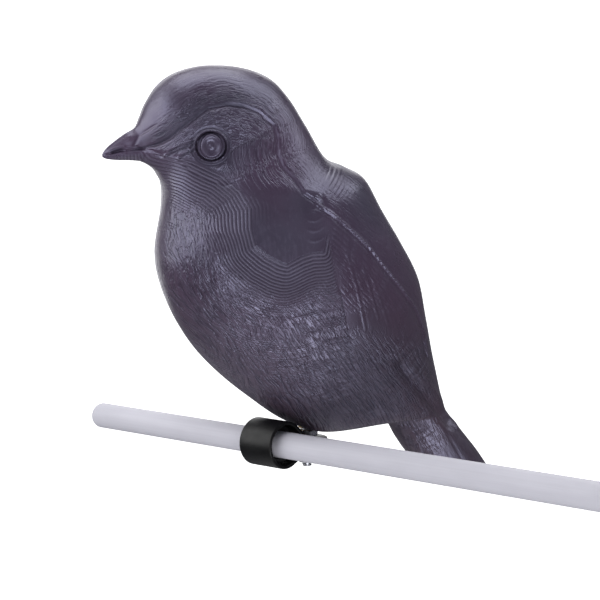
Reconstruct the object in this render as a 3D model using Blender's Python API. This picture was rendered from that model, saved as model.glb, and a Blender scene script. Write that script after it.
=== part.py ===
"""Songbird decoy that swivels on a loop clip, with the perch rod that the clip turns and slides on.

The bird is two hollow half shells joined on locating pins at the middle seam. A threaded insert
in the belly holds a stud, the stud hangs in the tabs of a strap clip, and the strap loops round
a rubber sleeve on the rod. Sizes are in millimetres and become metres when a mesh is made.

Row frame: the rod lies along X with its flat end at the origin, and +Z is up.
Bird frame: +X forward, +Y to the bird's left, +Z up, with the stud's axis as the Z axis.
"""

import math

import bmesh
import bpy
from mathutils import Matrix, Vector

MM = 0.001
GAP = 0.3

# Perch rod and the place of the clip on it.
ROD_RADIUS = 4.75
ROD_LENGTH = 254.0
ROD_NOSE_ROUND = 3.2
CLIP_TO_ROD_END = 159.0
ROD_SIDES = 32

# Rubber sleeve.
LINER_LENGTH = 8.5
LINER_INNER_RADIUS = ROD_RADIUS + GAP

# Strap clip: the loop's middle line, the strap's section and the tabs.
STRAP_THICKNESS = 1.3
STRAP_WIDTH = 15.5
LOOP_RADIUS = 7.9
LINER_OUTER_RADIUS = LOOP_RADIUS - STRAP_THICKNESS / 2 - GAP
TAB_MEETING_HEIGHT = -1.3
TAB_BEND_RADIUS = 3.0
TAB_BEND_REACH = 13.5
TAB_END_REACH = 25.5
TAB_HOLE_RADIUS = 2.3
STUD_REACH = 18.4

# Stud, nuts and washer, stacked along the stud's axis.
STUD_RADIUS = 1.85
STUD_LOW = -10.7
STUD_HIGH = 11.0
THREAD_BORE_RADIUS = STUD_RADIUS + GAP
NUT_ACROSS_FLATS = 7.0
JAM_NUT_LOW = TAB_MEETING_HEIGHT + GAP / 2 + STRAP_THICKNESS + GAP
JAM_NUT_HEIGHT = 2.4
WASHER_RADIUS = 4.5
WASHER_HEIGHT = 0.8
WASHER_HIGH = TAB_MEETING_HEIGHT - GAP / 2 - STRAP_THICKNESS - GAP
LOCK_NUT_HEIGHT = 5.0
LOCK_NUT_HIGH = WASHER_HIGH - WASHER_HEIGHT - GAP
LOCK_NUT_HEX_HEIGHT = 3.2
LOCK_NUT_COLLAR_RADIUS = 3.1

# Threaded insert and its pocket in the belly.
INSERT_RADIUS = 3.2
INSERT_LOW = 3.6
INSERT_HIGH = 12.7
SPOT_FACE_RADIUS = 6.0
SPOT_FACE_HEIGHT = JAM_NUT_LOW + JAM_NUT_HEIGHT + GAP
POCKET_TOP = INSERT_HIGH + GAP
BELLY_BOSS_RADIUS = 7.5
BELLY_BOSS_LOW = 5.2
BELLY_BOSS_HIGH = 16.0

# Bird: heading of its beak about the stud, wall, seam and fineness of the mesh.
BIRD_HEADING = math.radians(-121.0)
WALL = 2.4
SEAM_GAP = GAP / 2
STEPS_PER_STATION = 2
STEPS_ROUND_HALF = 16
FIRST_HOLLOW_STATION = 5
LAST_HOLLOW_STATION = 24

# Locating pins across the seam: centre (forward, up) of each one.
PIN_PLACES = {
    "locating_pin_crown": (30.0, 127.8),
    "locating_pin_breast": (48.4, 71.0),
    "locating_pin_rump": (-36.9, 46.0),
}
PIN_RADIUS = 1.5
PIN_HALF_LENGTH = 5.0
PIN_BOSS_RADIUS = 4.2
PIN_BOSS_DEPTH = 7.4
BOSS_SEAM_SETBACK = 0.35

# Eyes: place on the side of the head (forward, up) and the bead's turned form.
EYE_PLACE = (40.0, 106.3)
EYE_RADIUS = 5.2
EYE_SOCKET_DEPTH = 1.7
EYE_PAD_RADIUS = 7.4
EYE_PAD_DEPTH = 5.2
EYE_RIM_RADIUS = 3.9
EYE_RIM_RISE = 0.9
EYE_DIMPLE_RADIUS = 0.9

# Cross-sections of the body from bill tip to tail tip. Each one names its back point and its
# breast point as (forward, up), its half width, the place of its widest point as a fraction of
# the way from back to breast, and its fullness (2 is an ellipse, more is squarer).
STATIONS = (
    ((74.2, 103.4), (74.2, 102.3), 0.5, 0.50, 2.0),
    ((72.8, 105.5), (73.0, 101.5), 1.9, 0.55, 2.0),
    ((69.6, 108.1), (69.4, 101.0), 3.3, 0.60, 2.0),
    ((66.2, 110.5), (65.0, 100.9), 5.0, 0.62, 2.0),
    ((62.8, 112.6), (61.0, 100.5), 7.4, 0.62, 2.0),
    ((61.0, 116.2), (58.5, 99.6), 9.8, 0.60, 2.0),
    ((58.9, 121.0), (55.9, 97.7), 12.6, 0.58, 2.0),
    ((54.5, 127.2), (54.2, 95.2), 15.4, 0.56, 2.0),
    ((48.0, 131.7), (53.0, 92.8), 17.8, 0.54, 2.0),
    ((37.6, 134.2), (52.5, 89.8), 20.0, 0.53, 2.05),
    ((25.0, 133.6), (52.7, 86.0), 21.4, 0.52, 2.1),
    ((14.6, 129.9), (53.2, 82.0), 22.2, 0.52, 2.1),
    ((7.4, 122.6), (54.0, 77.8), 23.2, 0.52, 2.1),
    ((1.5, 113.2), (54.8, 72.8), 26.0, 0.53, 2.15),
    ((-5.2, 102.1), (55.1, 67.0), 29.4, 0.54, 2.2),
    ((-12.2, 98.7), (54.2, 60.2), 31.3, 0.54, 2.25),
    ((-20.0, 94.2), (51.8, 52.3), 31.3, 0.53, 2.25),
    ((-26.6, 83.0), (47.6, 43.2), 30.5, 0.51, 2.2),
    ((-34.0, 71.1), (41.1, 33.4), 29.2, 0.50, 2.15),
    ((-40.8, 58.3), (32.3, 24.2), 27.4, 0.50, 2.1),
    ((-44.0, 44.0), (21.0, 15.0), 25.4, 0.50, 2.1),
    ((-46.7, 30.0), (9.4, 7.0), 22.4, 0.48, 2.1),
    ((-49.2, 18.5), (-3.6, 2.2), 19.0, 0.46, 2.1),
    ((-51.2, 10.4), (-15.0, 4.0), 15.8, 0.43, 2.1),
    ((-53.3, 6.8), (-24.6, 7.6), 13.4, 0.41, 2.2),
    ((-56.4, 3.0), (-30.0, 5.4), 12.9, 0.42, 2.3),
    ((-60.3, -1.9), (-34.8, -2.2), 13.0, 0.44, 2.5),
    ((-64.0, -6.8), (-40.4, -9.4), 13.0, 0.44, 2.7),
    ((-67.2, -11.6), (-50.0, -17.4), 12.6, 0.42, 2.8),
)


def make_material(name, colour, roughness, metallic=0.0):
    """Return a Principled material with one colour."""
    material = bpy.data.materials.new(name)
    material.use_nodes = True
    shader = material.node_tree.nodes["Principled BSDF"]
    shader.inputs["Base Color"].default_value = (*colour, 1.0)
    shader.inputs["Roughness"].default_value = roughness
    shader.inputs["Metallic"].default_value = metallic
    material.diffuse_color = (*colour, 1.0)
    return material


def make_object(name, shape, material=None, parent=None):
    """Turn a bmesh in millimetres into a named object with its faces pointing out."""
    bmesh.ops.recalc_face_normals(shape, faces=shape.faces)
    bmesh.ops.scale(shape, vec=(MM, MM, MM), verts=shape.verts)
    mesh = bpy.data.meshes.new(name)
    shape.to_mesh(mesh)
    shape.free()
    mesh.shade_smooth()
    mesh.set_sharp_from_angle(angle=math.radians(35.0))
    if material:
        mesh.materials.append(material)
    result = bpy.data.objects.new(name, mesh)
    bpy.context.scene.collection.objects.link(result)
    result.parent = parent
    return result


def make_axis(name, place, parent=None, heading=0.0):
    """Return an empty that marks a joint's axis; place is in millimetres."""
    axis = bpy.data.objects.new(name, None)
    bpy.context.scene.collection.objects.link(axis)
    axis.empty_display_size = 0.01
    axis.location = Vector(place) * MM
    axis.rotation_euler = (0.0, 0.0, heading)
    axis.parent = parent
    return axis


def ring(shape, radius, height, sides):
    """Add a circle of points about Z, or one point where the radius is nothing."""
    if radius < 1e-6:
        return [shape.verts.new((0.0, 0.0, height))]
    turn = math.tau / sides
    return [
        shape.verts.new((radius * math.cos(turn * i), radius * math.sin(turn * i), height))
        for i in range(sides)
    ]


def join_rings(shape, low, high):
    """Add the faces between two rings, either of which may be a single point."""
    count = max(len(low), len(high))
    for i in range(count):
        corners = [low[i % len(low)], low[(i + 1) % len(low)]]
        corners += [high[(i + 1) % len(high)], high[i % len(high)]]
        shape.faces.new(list(dict.fromkeys(corners)))


def turned(profile, sides, closed=False, shape=None):
    """Return a solid turned about Z from (radius, height) points; closed profiles have a bore."""
    shape = shape or bmesh.new()
    rings = [ring(shape, radius, height, sides) for radius, height in profile]
    for low, high in zip(rings, rings[1:]):
        join_rings(shape, low, high)
    if closed:
        join_rings(shape, rings[-1], rings[0])
    return shape


def hex_nut(low, height, bore_radius, collar_radius=0.0, collar_from=0.0):
    """Return a chamfered hex nut about Z, with a round collar on its lower side if one is asked for."""
    shape = bmesh.new()
    sides = 24
    half_flats = NUT_ACROSS_FLATS / 2
    corner = half_flats / math.cos(math.pi / 6)
    chamfer = 0.35

    def outer(limit, level):
        points = []
        for i in range(sides):
            angle = math.tau * i / sides
            from_flat = (angle + math.pi / 6) % (math.pi / 3) - math.pi / 6
            reach = min(half_flats / math.cos(from_flat), limit)
            points.append(shape.verts.new((reach * math.cos(angle), reach * math.sin(angle), level)))
        return points

    high = low + height
    rings = [ring(shape, bore_radius, low, sides)]
    if collar_radius:
        rings.append(ring(shape, collar_radius - chamfer, low, sides))
        rings.append(ring(shape, collar_radius, low + chamfer, sides))
        rings.append(ring(shape, collar_radius, collar_from, sides))
        hex_low = collar_from
    else:
        hex_low = low
    rings.append(outer(half_flats, hex_low))
    rings.append(outer(corner, hex_low + chamfer))
    rings.append(outer(corner, high - chamfer))
    rings.append(outer(half_flats, high))
    rings.append(ring(shape, bore_radius, high, sides))
    for lower, upper in zip(rings, rings[1:] + rings[:1]):
        join_rings(shape, lower, upper)
    return shape


def spline(values, place):
    """Read a smooth curve through evenly spaced values (numbers) at a place counted in stations."""
    last = len(values) - 1
    index = min(int(place), last - 1)
    t = place - index
    before = values[max(index - 1, 0)]
    start = values[index]
    end = values[index + 1]
    after = values[min(index + 2, last)]
    slope_start = (end - before) / 2
    slope_end = (after - start) / 2
    square = t * t
    cube = square * t
    return (
        start * (2 * cube - 3 * square + 1)
        + slope_start * (cube - 2 * square + t)
        + end * (3 * square - 2 * cube)
        + slope_end * (cube - square)
    )


class Section:
    """One cross-section of the body, read between the stations and set in by an inset."""

    def __init__(self, place, inset=0.0):
        columns = list(zip(*STATIONS))
        self.back = Vector([spline([point[k] for point in columns[0]], place) for k in (0, 1)])
        self.breast = Vector([spline([point[k] for point in columns[1]], place) for k in (0, 1)])
        self.half_width = spline(columns[2], place) - inset
        self.widest = spline(columns[3], place)
        self.fullness = spline(columns[4], place)
        if inset:
            step = 0.05
            ahead = Section(place - step)
            behind = Section(place + step)
            back_run = (behind.back - ahead.back).normalized()
            breast_run = (behind.breast - ahead.breast).normalized()
            self.back += Vector((-back_run.y, back_run.x)) * inset
            self.breast += Vector((breast_run.y, -breast_run.x)) * inset

    def point(self, angle):
        """Return the surface point at an angle from the back (0) to the breast (pi)."""
        power = 2.0 / self.fullness
        reach = math.copysign(abs(math.cos(angle)) ** power, math.cos(angle))
        side = max(math.sin(angle), 0.0) ** power * self.half_width
        if reach > 0:
            along = self.widest * (1.0 - reach)
        else:
            along = self.widest - (1.0 - self.widest) * reach
        middle = self.back.lerp(self.breast, along)
        return Vector((middle.x, side + SEAM_GAP, middle.y))


def surface_at(forward, up):
    """Return the point on the bird's left side at a place (forward, up), and its outward normal."""

    def miss(place, angle):
        point = Section(place).point(angle)
        return math.hypot(point.x - forward, point.z - up)

    place, angle = len(STATIONS) / 2, math.pi / 2
    stride = 4.0
    while stride > 0.001:
        moves = ((0, 0), (stride, 0), (-stride, 0), (0, stride / 4), (0, -stride / 4))
        nearby = [(place + along, angle + turn) for along, turn in moves]
        nearest = min(nearby, key=lambda spot: miss(*spot))
        if nearest == (place, angle):
            stride /= 2
        place, angle = nearest
    along = Section(place + 0.2).point(angle) - Section(place - 0.2).point(angle)
    round_it = Section(place).point(angle + 0.05) - Section(place).point(angle - 0.05)
    normal = along.cross(round_it).normalized()
    if normal.y < 0:
        normal.negate()
    return Section(place).point(angle), normal


def half_shell(side):
    """Return one hollow half of the body; side is +1 for the left half and -1 for the right."""
    shape = bmesh.new()
    last = (len(STATIONS) - 1) * STEPS_PER_STATION
    first_hollow = FIRST_HOLLOW_STATION * STEPS_PER_STATION
    last_hollow = LAST_HOLLOW_STATION * STEPS_PER_STATION
    angles = [math.pi * j / STEPS_ROUND_HALF for j in range(STEPS_ROUND_HALF + 1)]

    def row_of_points(place, inset):
        section = Section(place, inset)
        row = []
        for angle in angles:
            point = section.point(angle)
            row.append(shape.verts.new((point.x, side * point.y, point.z)))
        return row

    def skin(rows):
        for row, following in zip(rows, rows[1:]):
            for j in range(STEPS_ROUND_HALF):
                shape.faces.new((row[j], row[j + 1], following[j + 1], following[j]))

    outer = [row_of_points(i / STEPS_PER_STATION, 0.0) for i in range(last + 1)]
    hollow = range(first_hollow, last_hollow + 1)
    inner = {i: row_of_points(i / STEPS_PER_STATION, WALL) for i in hollow}
    skin(outer)
    skin([inner[i] for i in hollow])
    shape.faces.new(outer[0])
    shape.faces.new(outer[-1])
    shape.faces.new(inner[first_hollow])
    shape.faces.new(inner[last_hollow])

    for i in range(last):
        back, next_back = outer[i][0], outer[i + 1][0]
        breast, next_breast = outer[i][-1], outer[i + 1][-1]
        if i in inner and i + 1 in inner:
            shape.faces.new((back, next_back, inner[i + 1][0], inner[i][0]))
            shape.faces.new((breast, next_breast, inner[i + 1][-1], inner[i][-1]))
        else:
            corners = [back, next_back]
            if i + 1 in inner:
                corners += [inner[i + 1][0], inner[i + 1][-1]]
            corners += [next_breast, breast]
            if i in inner:
                corners += [inner[i][-1], inner[i][0]]
            shape.faces.new(corners)
    return shape


def cylinder_across(shape, centre, radius, start, end, sides=20):
    """Add a closed cylinder along Y between two places; centre is (forward, up)."""
    turn = Matrix.Rotation(math.radians(-90.0), 4, "X")
    place = Matrix.Translation((centre[0], 0.0, centre[1])) @ turn
    rod = turned([(0.0, start), (radius, start), (radius, end), (0.0, end)], sides)
    add_moved(shape, rod, place)


def add_moved(shape, addition, place):
    """Add a closed bmesh to another one at a place, and free it."""
    bmesh.ops.transform(addition, matrix=place, verts=addition.verts)
    mesh = bpy.data.meshes.new("moved")
    addition.to_mesh(mesh)
    addition.free()
    shape.from_mesh(mesh)
    bpy.data.meshes.remove(mesh)


def eye_frame(side):
    """Return the matrix that puts an eye's turning axis on the head, with Z pointing out."""
    point, normal = surface_at(*EYE_PLACE)
    point.y *= side
    normal.y *= side
    return Matrix.Translation(point) @ normal.to_track_quat("Z", "X").to_matrix().to_4x4()


def half_round_boss(side):
    """Return the half of the belly boss that belongs to one shell."""
    shape = bmesh.new()
    steps = 16
    start = math.asin(BOSS_SEAM_SETBACK / BELLY_BOSS_RADIUS)
    outline = []
    for i in range(steps + 1):
        angle = start + (math.pi - 2 * start) * i / steps
        outline.append((BELLY_BOSS_RADIUS * math.cos(angle), side * BELLY_BOSS_RADIUS * math.sin(angle)))
    low = [shape.verts.new((x, y, BELLY_BOSS_LOW)) for x, y in outline]
    high = [shape.verts.new((x, y, BELLY_BOSS_HIGH)) for x, y in outline]
    join_rings(shape, low, high)
    shape.faces.new(low)
    shape.faces.new(high)
    return shape


def guide(name, shape, parent):
    """Return a helper object that a Boolean reads and that is not part of the object."""
    helper = make_object(name, shape, parent=parent)
    helper.hide_render = True
    helper.display_type = "WIRE"
    return helper


def boolean(target, helper, operation):
    """Add an exact Boolean to an object."""
    modifier = target.modifiers.new(helper.name, "BOOLEAN")
    modifier.operation = operation
    modifier.object = helper


def build_shell(name, side, material, bird):
    """Make one half shell with its pin bosses, belly boss, insert pocket and eye socket."""
    shell = make_object(name, half_shell(side), material, bird)

    bosses = half_round_boss(side)
    for centre in PIN_PLACES.values():
        cylinder_across(bosses, centre, PIN_BOSS_RADIUS, side * BOSS_SEAM_SETBACK, side * PIN_BOSS_DEPTH)
    pad_top = -WALL / 2
    pad_outline = [(EYE_PAD_RADIUS, -EYE_PAD_DEPTH), (EYE_PAD_RADIUS, pad_top)]
    pad = turned([(0.0, -EYE_PAD_DEPTH)] + pad_outline + [(0.0, pad_top)], 24)
    add_moved(bosses, pad, eye_frame(side))
    boolean(shell, guide(name + "_bosses", bosses, bird), "UNION")

    below = SPOT_FACE_HEIGHT - 8.0
    pocket_radius = INSERT_RADIUS + GAP
    cuts = turned(
        [
            (0.0, below),
            (SPOT_FACE_RADIUS, below),
            (SPOT_FACE_RADIUS, SPOT_FACE_HEIGHT),
            (pocket_radius, SPOT_FACE_HEIGHT),
            (pocket_radius, POCKET_TOP),
            (0.0, POCKET_TOP),
        ],
        32,
    )
    for centre in PIN_PLACES.values():
        bottom = PIN_HALF_LENGTH + GAP
        cylinder_across(cuts, centre, PIN_RADIUS + GAP, -side * 2.0, side * bottom)
    socket_radius = EYE_RADIUS + GAP
    socket = turned(
        [(0.0, -EYE_SOCKET_DEPTH), (socket_radius, -EYE_SOCKET_DEPTH), (socket_radius, 6.0), (0.0, 6.0)],
        32,
    )
    add_moved(cuts, socket, eye_frame(side))
    boolean(shell, guide(name + "_cuts", cuts, bird), "DIFFERENCE")
    return shell


def build_eye(name, side, material, bird):
    """Make one eye bead: a low lid ring, a raised rim, a dome and a dimple in its middle."""
    base = -EYE_SOCKET_DEPTH + GAP
    profile = [
        (0.0, base),
        (EYE_RADIUS, base),
        (EYE_RADIUS, -0.35),
        (EYE_RADIUS - 0.5, 0.1),
        (EYE_RIM_RADIUS + 0.35, 0.05),
        (EYE_RIM_RADIUS, EYE_RIM_RISE - 0.25),
        (EYE_RIM_RADIUS - 0.5, EYE_RIM_RISE),
        (EYE_RIM_RADIUS - 1.0, EYE_RIM_RISE - 0.2),
        (2.2, EYE_RIM_RISE + 0.1),
        (1.4, EYE_RIM_RISE + 0.35),
        (EYE_DIMPLE_RADIUS, EYE_RIM_RISE + 0.25),
        (0.0, EYE_RIM_RISE - 0.15),
    ]
    bead = turned(profile, 24)
    bmesh.ops.transform(bead, matrix=eye_frame(side), verts=bead.verts)
    return make_object(name, bead, material, bird)


def build_pin(name, centre, material, bird):
    """Make one locating pin with chamfered ends, lying across the seam."""
    chamfer = 0.4
    profile = [
        (0.0, -PIN_HALF_LENGTH),
        (PIN_RADIUS - chamfer, -PIN_HALF_LENGTH),
        (PIN_RADIUS, -PIN_HALF_LENGTH + chamfer),
        (PIN_RADIUS, PIN_HALF_LENGTH - chamfer),
        (PIN_RADIUS - chamfer, PIN_HALF_LENGTH),
        (0.0, PIN_HALF_LENGTH),
    ]
    pin = turned(profile, 16)
    turn = Matrix.Rotation(math.radians(-90.0), 4, "X")
    place = Matrix.Translation((centre[0], 0.0, centre[1])) @ turn
    bmesh.ops.transform(pin, matrix=place, verts=pin.verts)
    return make_object(name, pin, material, bird)


def build_insert(material, bird):
    """Make the brass insert: a flanged sleeve with a groove between two knurled bands."""
    groove = INSERT_RADIUS - 0.5
    middle = (INSERT_LOW + INSERT_HIGH) / 2
    profile = [
        (THREAD_BORE_RADIUS, INSERT_LOW),
        (INSERT_RADIUS, INSERT_LOW),
        (INSERT_RADIUS, middle - 1.0),
        (groove, middle - 0.6),
        (groove, middle + 0.6),
        (INSERT_RADIUS, middle + 1.0),
        (INSERT_RADIUS, INSERT_HIGH - 0.5),
        (INSERT_RADIUS - 0.5, INSERT_HIGH),
        (THREAD_BORE_RADIUS, INSERT_HIGH),
    ]
    return make_object("threaded_insert", turned(profile, 24, closed=True), material, bird)


def build_stud(material, bird):
    """Make the stud with a domed lower end and a chamfered upper end."""
    profile = [(0.0, STUD_LOW)]
    dome_height = 0.9
    for degrees in (30, 60, 90):
        angle = math.radians(degrees)
        profile.append((STUD_RADIUS * math.sin(angle), STUD_LOW + dome_height * (1.0 - math.cos(angle))))
    profile += [(STUD_RADIUS, STUD_HIGH - 0.5), (STUD_RADIUS - 0.5, STUD_HIGH), (0.0, STUD_HIGH)]
    return make_object("stud", turned(profile, 20), material, bird)


def build_washer(material, axis):
    """Make the plain washer with rounded outer edges."""
    low = WASHER_HIGH - WASHER_HEIGHT
    round_off = 0.2
    profile = [
        (THREAD_BORE_RADIUS, low),
        (WASHER_RADIUS - round_off, low),
        (WASHER_RADIUS, low + round_off),
        (WASHER_RADIUS, WASHER_HIGH - round_off),
        (WASHER_RADIUS - round_off, WASHER_HIGH),
        (THREAD_BORE_RADIUS, WASHER_HIGH),
    ]
    return make_object("washer", turned(profile, 32, closed=True), material, axis)


def arc(centre, radius, start, end, steps):
    """Return points on a circular arc, its end included; angles are in radians."""
    points = []
    for i in range(steps + 1):
        angle = start + (end - start) * i / steps
        points.append(Vector((centre[0] + radius * math.cos(angle), centre[1] + radius * math.sin(angle))))
    return points


def strap_middle_line():
    """Return the strap's middle line as (reach, up) points from the upper tab's end round the loop."""
    half_gap = (STRAP_THICKNESS + GAP) / 2
    ends = []
    for side in (1, -1):
        tab_height = TAB_MEETING_HEIGHT + side * half_gap
        bend_centre = Vector((TAB_BEND_REACH, tab_height + side * TAB_BEND_RADIUS))
        lean = math.acos((LOOP_RADIUS + TAB_BEND_RADIUS) / bend_centre.length)
        leave = math.atan2(bend_centre.y, bend_centre.x) + side * lean
        bend = arc(bend_centre, TAB_BEND_RADIUS, -side * math.pi / 2, leave - side * math.pi, 5)
        ends.append((leave, [Vector((TAB_END_REACH, tab_height))] + bend))
    (upper_leave, upper), (lower_leave, lower) = ends
    loop = arc((0.0, 0.0), LOOP_RADIUS, upper_leave, lower_leave + math.tau, 36)
    return upper + loop + lower[::-1]


def build_strap(material, axis):
    """Make the clip: one strap bent into a loop with two drilled tabs."""
    line = strap_middle_line()
    outer, inner = [], []
    for i, point in enumerate(line):
        run = (line[min(i + 1, len(line) - 1)] - line[max(i - 1, 0)]).normalized()
        across = Vector((run.y, -run.x)) * STRAP_THICKNESS / 2
        outer.append(point + across)
        inner.append(point - across)
    outline = outer + inner[::-1]
    shape = bmesh.new()
    half = STRAP_WIDTH / 2
    near = [shape.verts.new((-half, point.x, point.y)) for point in outline]
    far = [shape.verts.new((half, point.x, point.y)) for point in outline]
    join_rings(shape, near, far)
    count = len(line)
    for verts in (near, far):
        for i in range(count - 1):
            shape.faces.new((verts[i], verts[i + 1], verts[-2 - i], verts[-1 - i]))
    strap = make_object("clip_strap", shape, material, axis)

    hole = turned([(0.0, -6.0), (TAB_HOLE_RADIUS, -6.0), (TAB_HOLE_RADIUS, 4.0), (0.0, 4.0)], 24)
    bmesh.ops.translate(hole, vec=(0.0, STUD_REACH, 0.0), verts=hole.verts)
    boolean(strap, guide("clip_hole", hole, axis), "DIFFERENCE")
    return strap


def along_x(shape, start):
    """Turn a solid made about Z so that it lies along X from a starting place."""
    place = Matrix.Translation((start, 0.0, 0.0)) @ Matrix.Rotation(math.radians(90.0), 4, "Y")
    bmesh.ops.transform(shape, matrix=place, verts=shape.verts)
    return shape


def build_rod(material):
    """Make the perch rod: a rounded nose at one end and a flat, lightly broken edge at the other."""
    profile = [(0.0, 0.0)]
    for degrees in (0, 22.5, 45, 67.5, 90):
        angle = math.radians(degrees)
        radius = ROD_RADIUS - ROD_NOSE_ROUND * (1.0 - math.sin(angle))
        profile.append((radius, ROD_NOSE_ROUND * (1.0 - math.cos(angle))))
    edge = 0.4
    profile += [(ROD_RADIUS, ROD_LENGTH - edge), (ROD_RADIUS - edge, ROD_LENGTH), (0.0, ROD_LENGTH)]
    return make_object("perch_rod", along_x(turned(profile, ROD_SIDES), -ROD_LENGTH), material)


def build_liner(material, axis):
    """Make the rubber sleeve that fills the loop round the rod."""
    half = LINER_LENGTH / 2
    profile = [
        (LINER_INNER_RADIUS, -half),
        (LINER_OUTER_RADIUS, -half),
        (LINER_OUTER_RADIUS, half),
        (LINER_INNER_RADIUS, half),
    ]
    return make_object("rod_liner", along_x(turned(profile, ROD_SIDES, closed=True), 0.0), material, axis)


def main():
    """Clear the scene and build every piece in its place."""
    for old in list(bpy.data.objects):
        bpy.data.objects.remove(old)

    body = make_material("moulded_body", (0.082, 0.070, 0.092), 0.42)
    eye = make_material("eye_bead", (0.060, 0.050, 0.070), 0.35)
    strap = make_material("black_strap", (0.015, 0.015, 0.016), 0.45)
    rubber = make_material("black_rubber", (0.010, 0.010, 0.010), 0.8)
    zinc = make_material("zinc_steel", (0.68, 0.68, 0.70), 0.28, 1.0)
    brass = make_material("insert_brass", (0.72, 0.52, 0.24), 0.35, 1.0)
    pins = make_material("pin_plastic", (0.30, 0.30, 0.32), 0.5)
    rod = make_material("rod_coating", (0.56, 0.55, 0.62), 0.5)

    build_rod(rod)
    clip_place = (-CLIP_TO_ROD_END, 0.0, 0.0)
    slide_axis = make_axis("clip_slide_axis", clip_place)
    build_liner(rubber, slide_axis)
    turn_axis = make_axis("clip_turn_axis", (0.0, 0.0, 0.0), slide_axis)
    build_strap(strap, turn_axis)

    bird = make_axis("bird_swivel_axis", (0.0, STUD_REACH, 0.0), turn_axis, BIRD_HEADING)
    build_shell("body_shell_left", 1, body, bird)
    build_shell("body_shell_right", -1, body, bird)
    build_eye("eye_left", 1, eye, bird)
    build_eye("eye_right", -1, eye, bird)
    for name, centre in PIN_PLACES.items():
        build_pin(name, centre, pins, bird)
    build_insert(brass, bird)
    build_stud(zinc, bird)
    jam_nut = hex_nut(JAM_NUT_LOW, JAM_NUT_HEIGHT, THREAD_BORE_RADIUS)
    make_object("jam_nut", jam_nut, zinc, bird)

    washer_axis = make_axis("washer_drop_axis", (0.0, 0.0, 0.0), bird)
    build_washer(zinc, washer_axis)
    nut_axis = make_axis("nut_turn_axis", (0.0, 0.0, 0.0), washer_axis)
    lock_nut = hex_nut(
        LOCK_NUT_HIGH - LOCK_NUT_HEIGHT,
        LOCK_NUT_HEIGHT,
        THREAD_BORE_RADIUS,
        LOCK_NUT_COLLAR_RADIUS,
        LOCK_NUT_HIGH - LOCK_NUT_HEX_HEIGHT,
    )
    make_object("lock_nut", lock_nut, zinc, nut_axis)


main()
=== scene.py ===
"""Looks of the songbird decoy, its loop clip and its perch rod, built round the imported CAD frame.

The bird is two cast half shells with the fine terraces that a layered master leaves in a mould,
with sculpted brow, bill, cheek, wing edge and tail. It sits on a zinc plated stud in a black
strap clip, and the clip turns and slides on a pale coated rod.

Row frame: the rod lies along X with its flat end at the origin, and +Z is up.
Bird frame: +X forward, +Y to the bird's left, +Z up, with the stud's axis as the Z axis.
"""

import logging
import math
from dataclasses import dataclass
from enum import Enum

import bmesh
import bpy
import numpy as np
from mathutils import Matrix, Vector


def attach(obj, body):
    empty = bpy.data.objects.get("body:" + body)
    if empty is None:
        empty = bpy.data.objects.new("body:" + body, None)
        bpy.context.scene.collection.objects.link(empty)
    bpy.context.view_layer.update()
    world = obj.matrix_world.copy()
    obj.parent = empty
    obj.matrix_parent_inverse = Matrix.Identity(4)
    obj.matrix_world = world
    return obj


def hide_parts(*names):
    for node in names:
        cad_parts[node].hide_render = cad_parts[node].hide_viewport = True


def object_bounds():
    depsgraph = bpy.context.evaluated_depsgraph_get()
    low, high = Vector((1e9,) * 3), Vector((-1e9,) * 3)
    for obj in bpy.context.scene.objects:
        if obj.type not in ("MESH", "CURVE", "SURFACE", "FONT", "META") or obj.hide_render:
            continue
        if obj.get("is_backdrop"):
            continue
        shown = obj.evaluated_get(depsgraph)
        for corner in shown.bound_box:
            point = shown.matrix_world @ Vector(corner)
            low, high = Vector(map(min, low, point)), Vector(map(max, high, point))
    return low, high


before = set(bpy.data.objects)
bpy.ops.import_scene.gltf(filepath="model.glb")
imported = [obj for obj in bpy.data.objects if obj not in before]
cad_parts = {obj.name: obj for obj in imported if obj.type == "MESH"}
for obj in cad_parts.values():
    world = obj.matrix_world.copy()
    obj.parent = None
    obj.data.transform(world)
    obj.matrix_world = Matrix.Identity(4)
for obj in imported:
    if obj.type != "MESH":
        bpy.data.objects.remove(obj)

MM = 0.001

# Sizes and places in millimetres, as in the CAD.
GAP = 0.3
SEAM_GAP = GAP / 2
CROWN_TOP = 134.28
LAYER_PITCH = 1.35
CLIP_PLACE = (-159.0, 0.0, 0.0)
STUD_PLACE = (-159.0, 18.4, 0.0)
BIRD_HEADING = math.radians(-121.0)

# The faint blue of the resin's highlights.
RESIN_SHEEN = "#d9dbff"

log = logging.getLogger("decoy")

Array = np.ndarray
Point2 = tuple[float, float]
Point3 = tuple[float, float, float]
Face = tuple[int, ...]
Solid = tuple[list[Point3], list[Face]]
Tree = bpy.types.NodeTree
Shader = bpy.types.Node
Socket = bpy.types.NodeSocket


# ---------------------------------------------------------------- small tools


def linear(code: str) -> tuple[float, ...]:
    """Turn an sRGB hex value into linear red, green and blue, with an alpha of one.

    Args:
        code: A hash and six hex digits.

    Returns:
        Red, green, blue and alpha.
    """
    shares = [int(code[i : i + 2], 16) / 255 for i in (1, 3, 5)]
    red, green, blue = [s / 12.92 if s <= 0.04045 else ((s + 0.055) / 1.055) ** 2.4 for s in shares]
    return red, green, blue, 1.0


def per_metre(millimetres: float) -> float:
    """Return the texture scale whose pattern repeats every so many millimetres."""
    return 1.0 / (millimetres * MM)


def ease(start: float, end: float, values: Array) -> Array:
    """Rise smoothly from 0 at start to 1 at end; start may be the larger one."""
    share = np.clip((values - start) / (end - start), 0.0, 1.0)
    return share * share * (3.0 - 2.0 * share)


def hump(values: Array, width: float) -> Array:
    """Return a smooth hump of height one about zero, of that half width."""
    return np.exp(-((values / width) ** 2))


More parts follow.
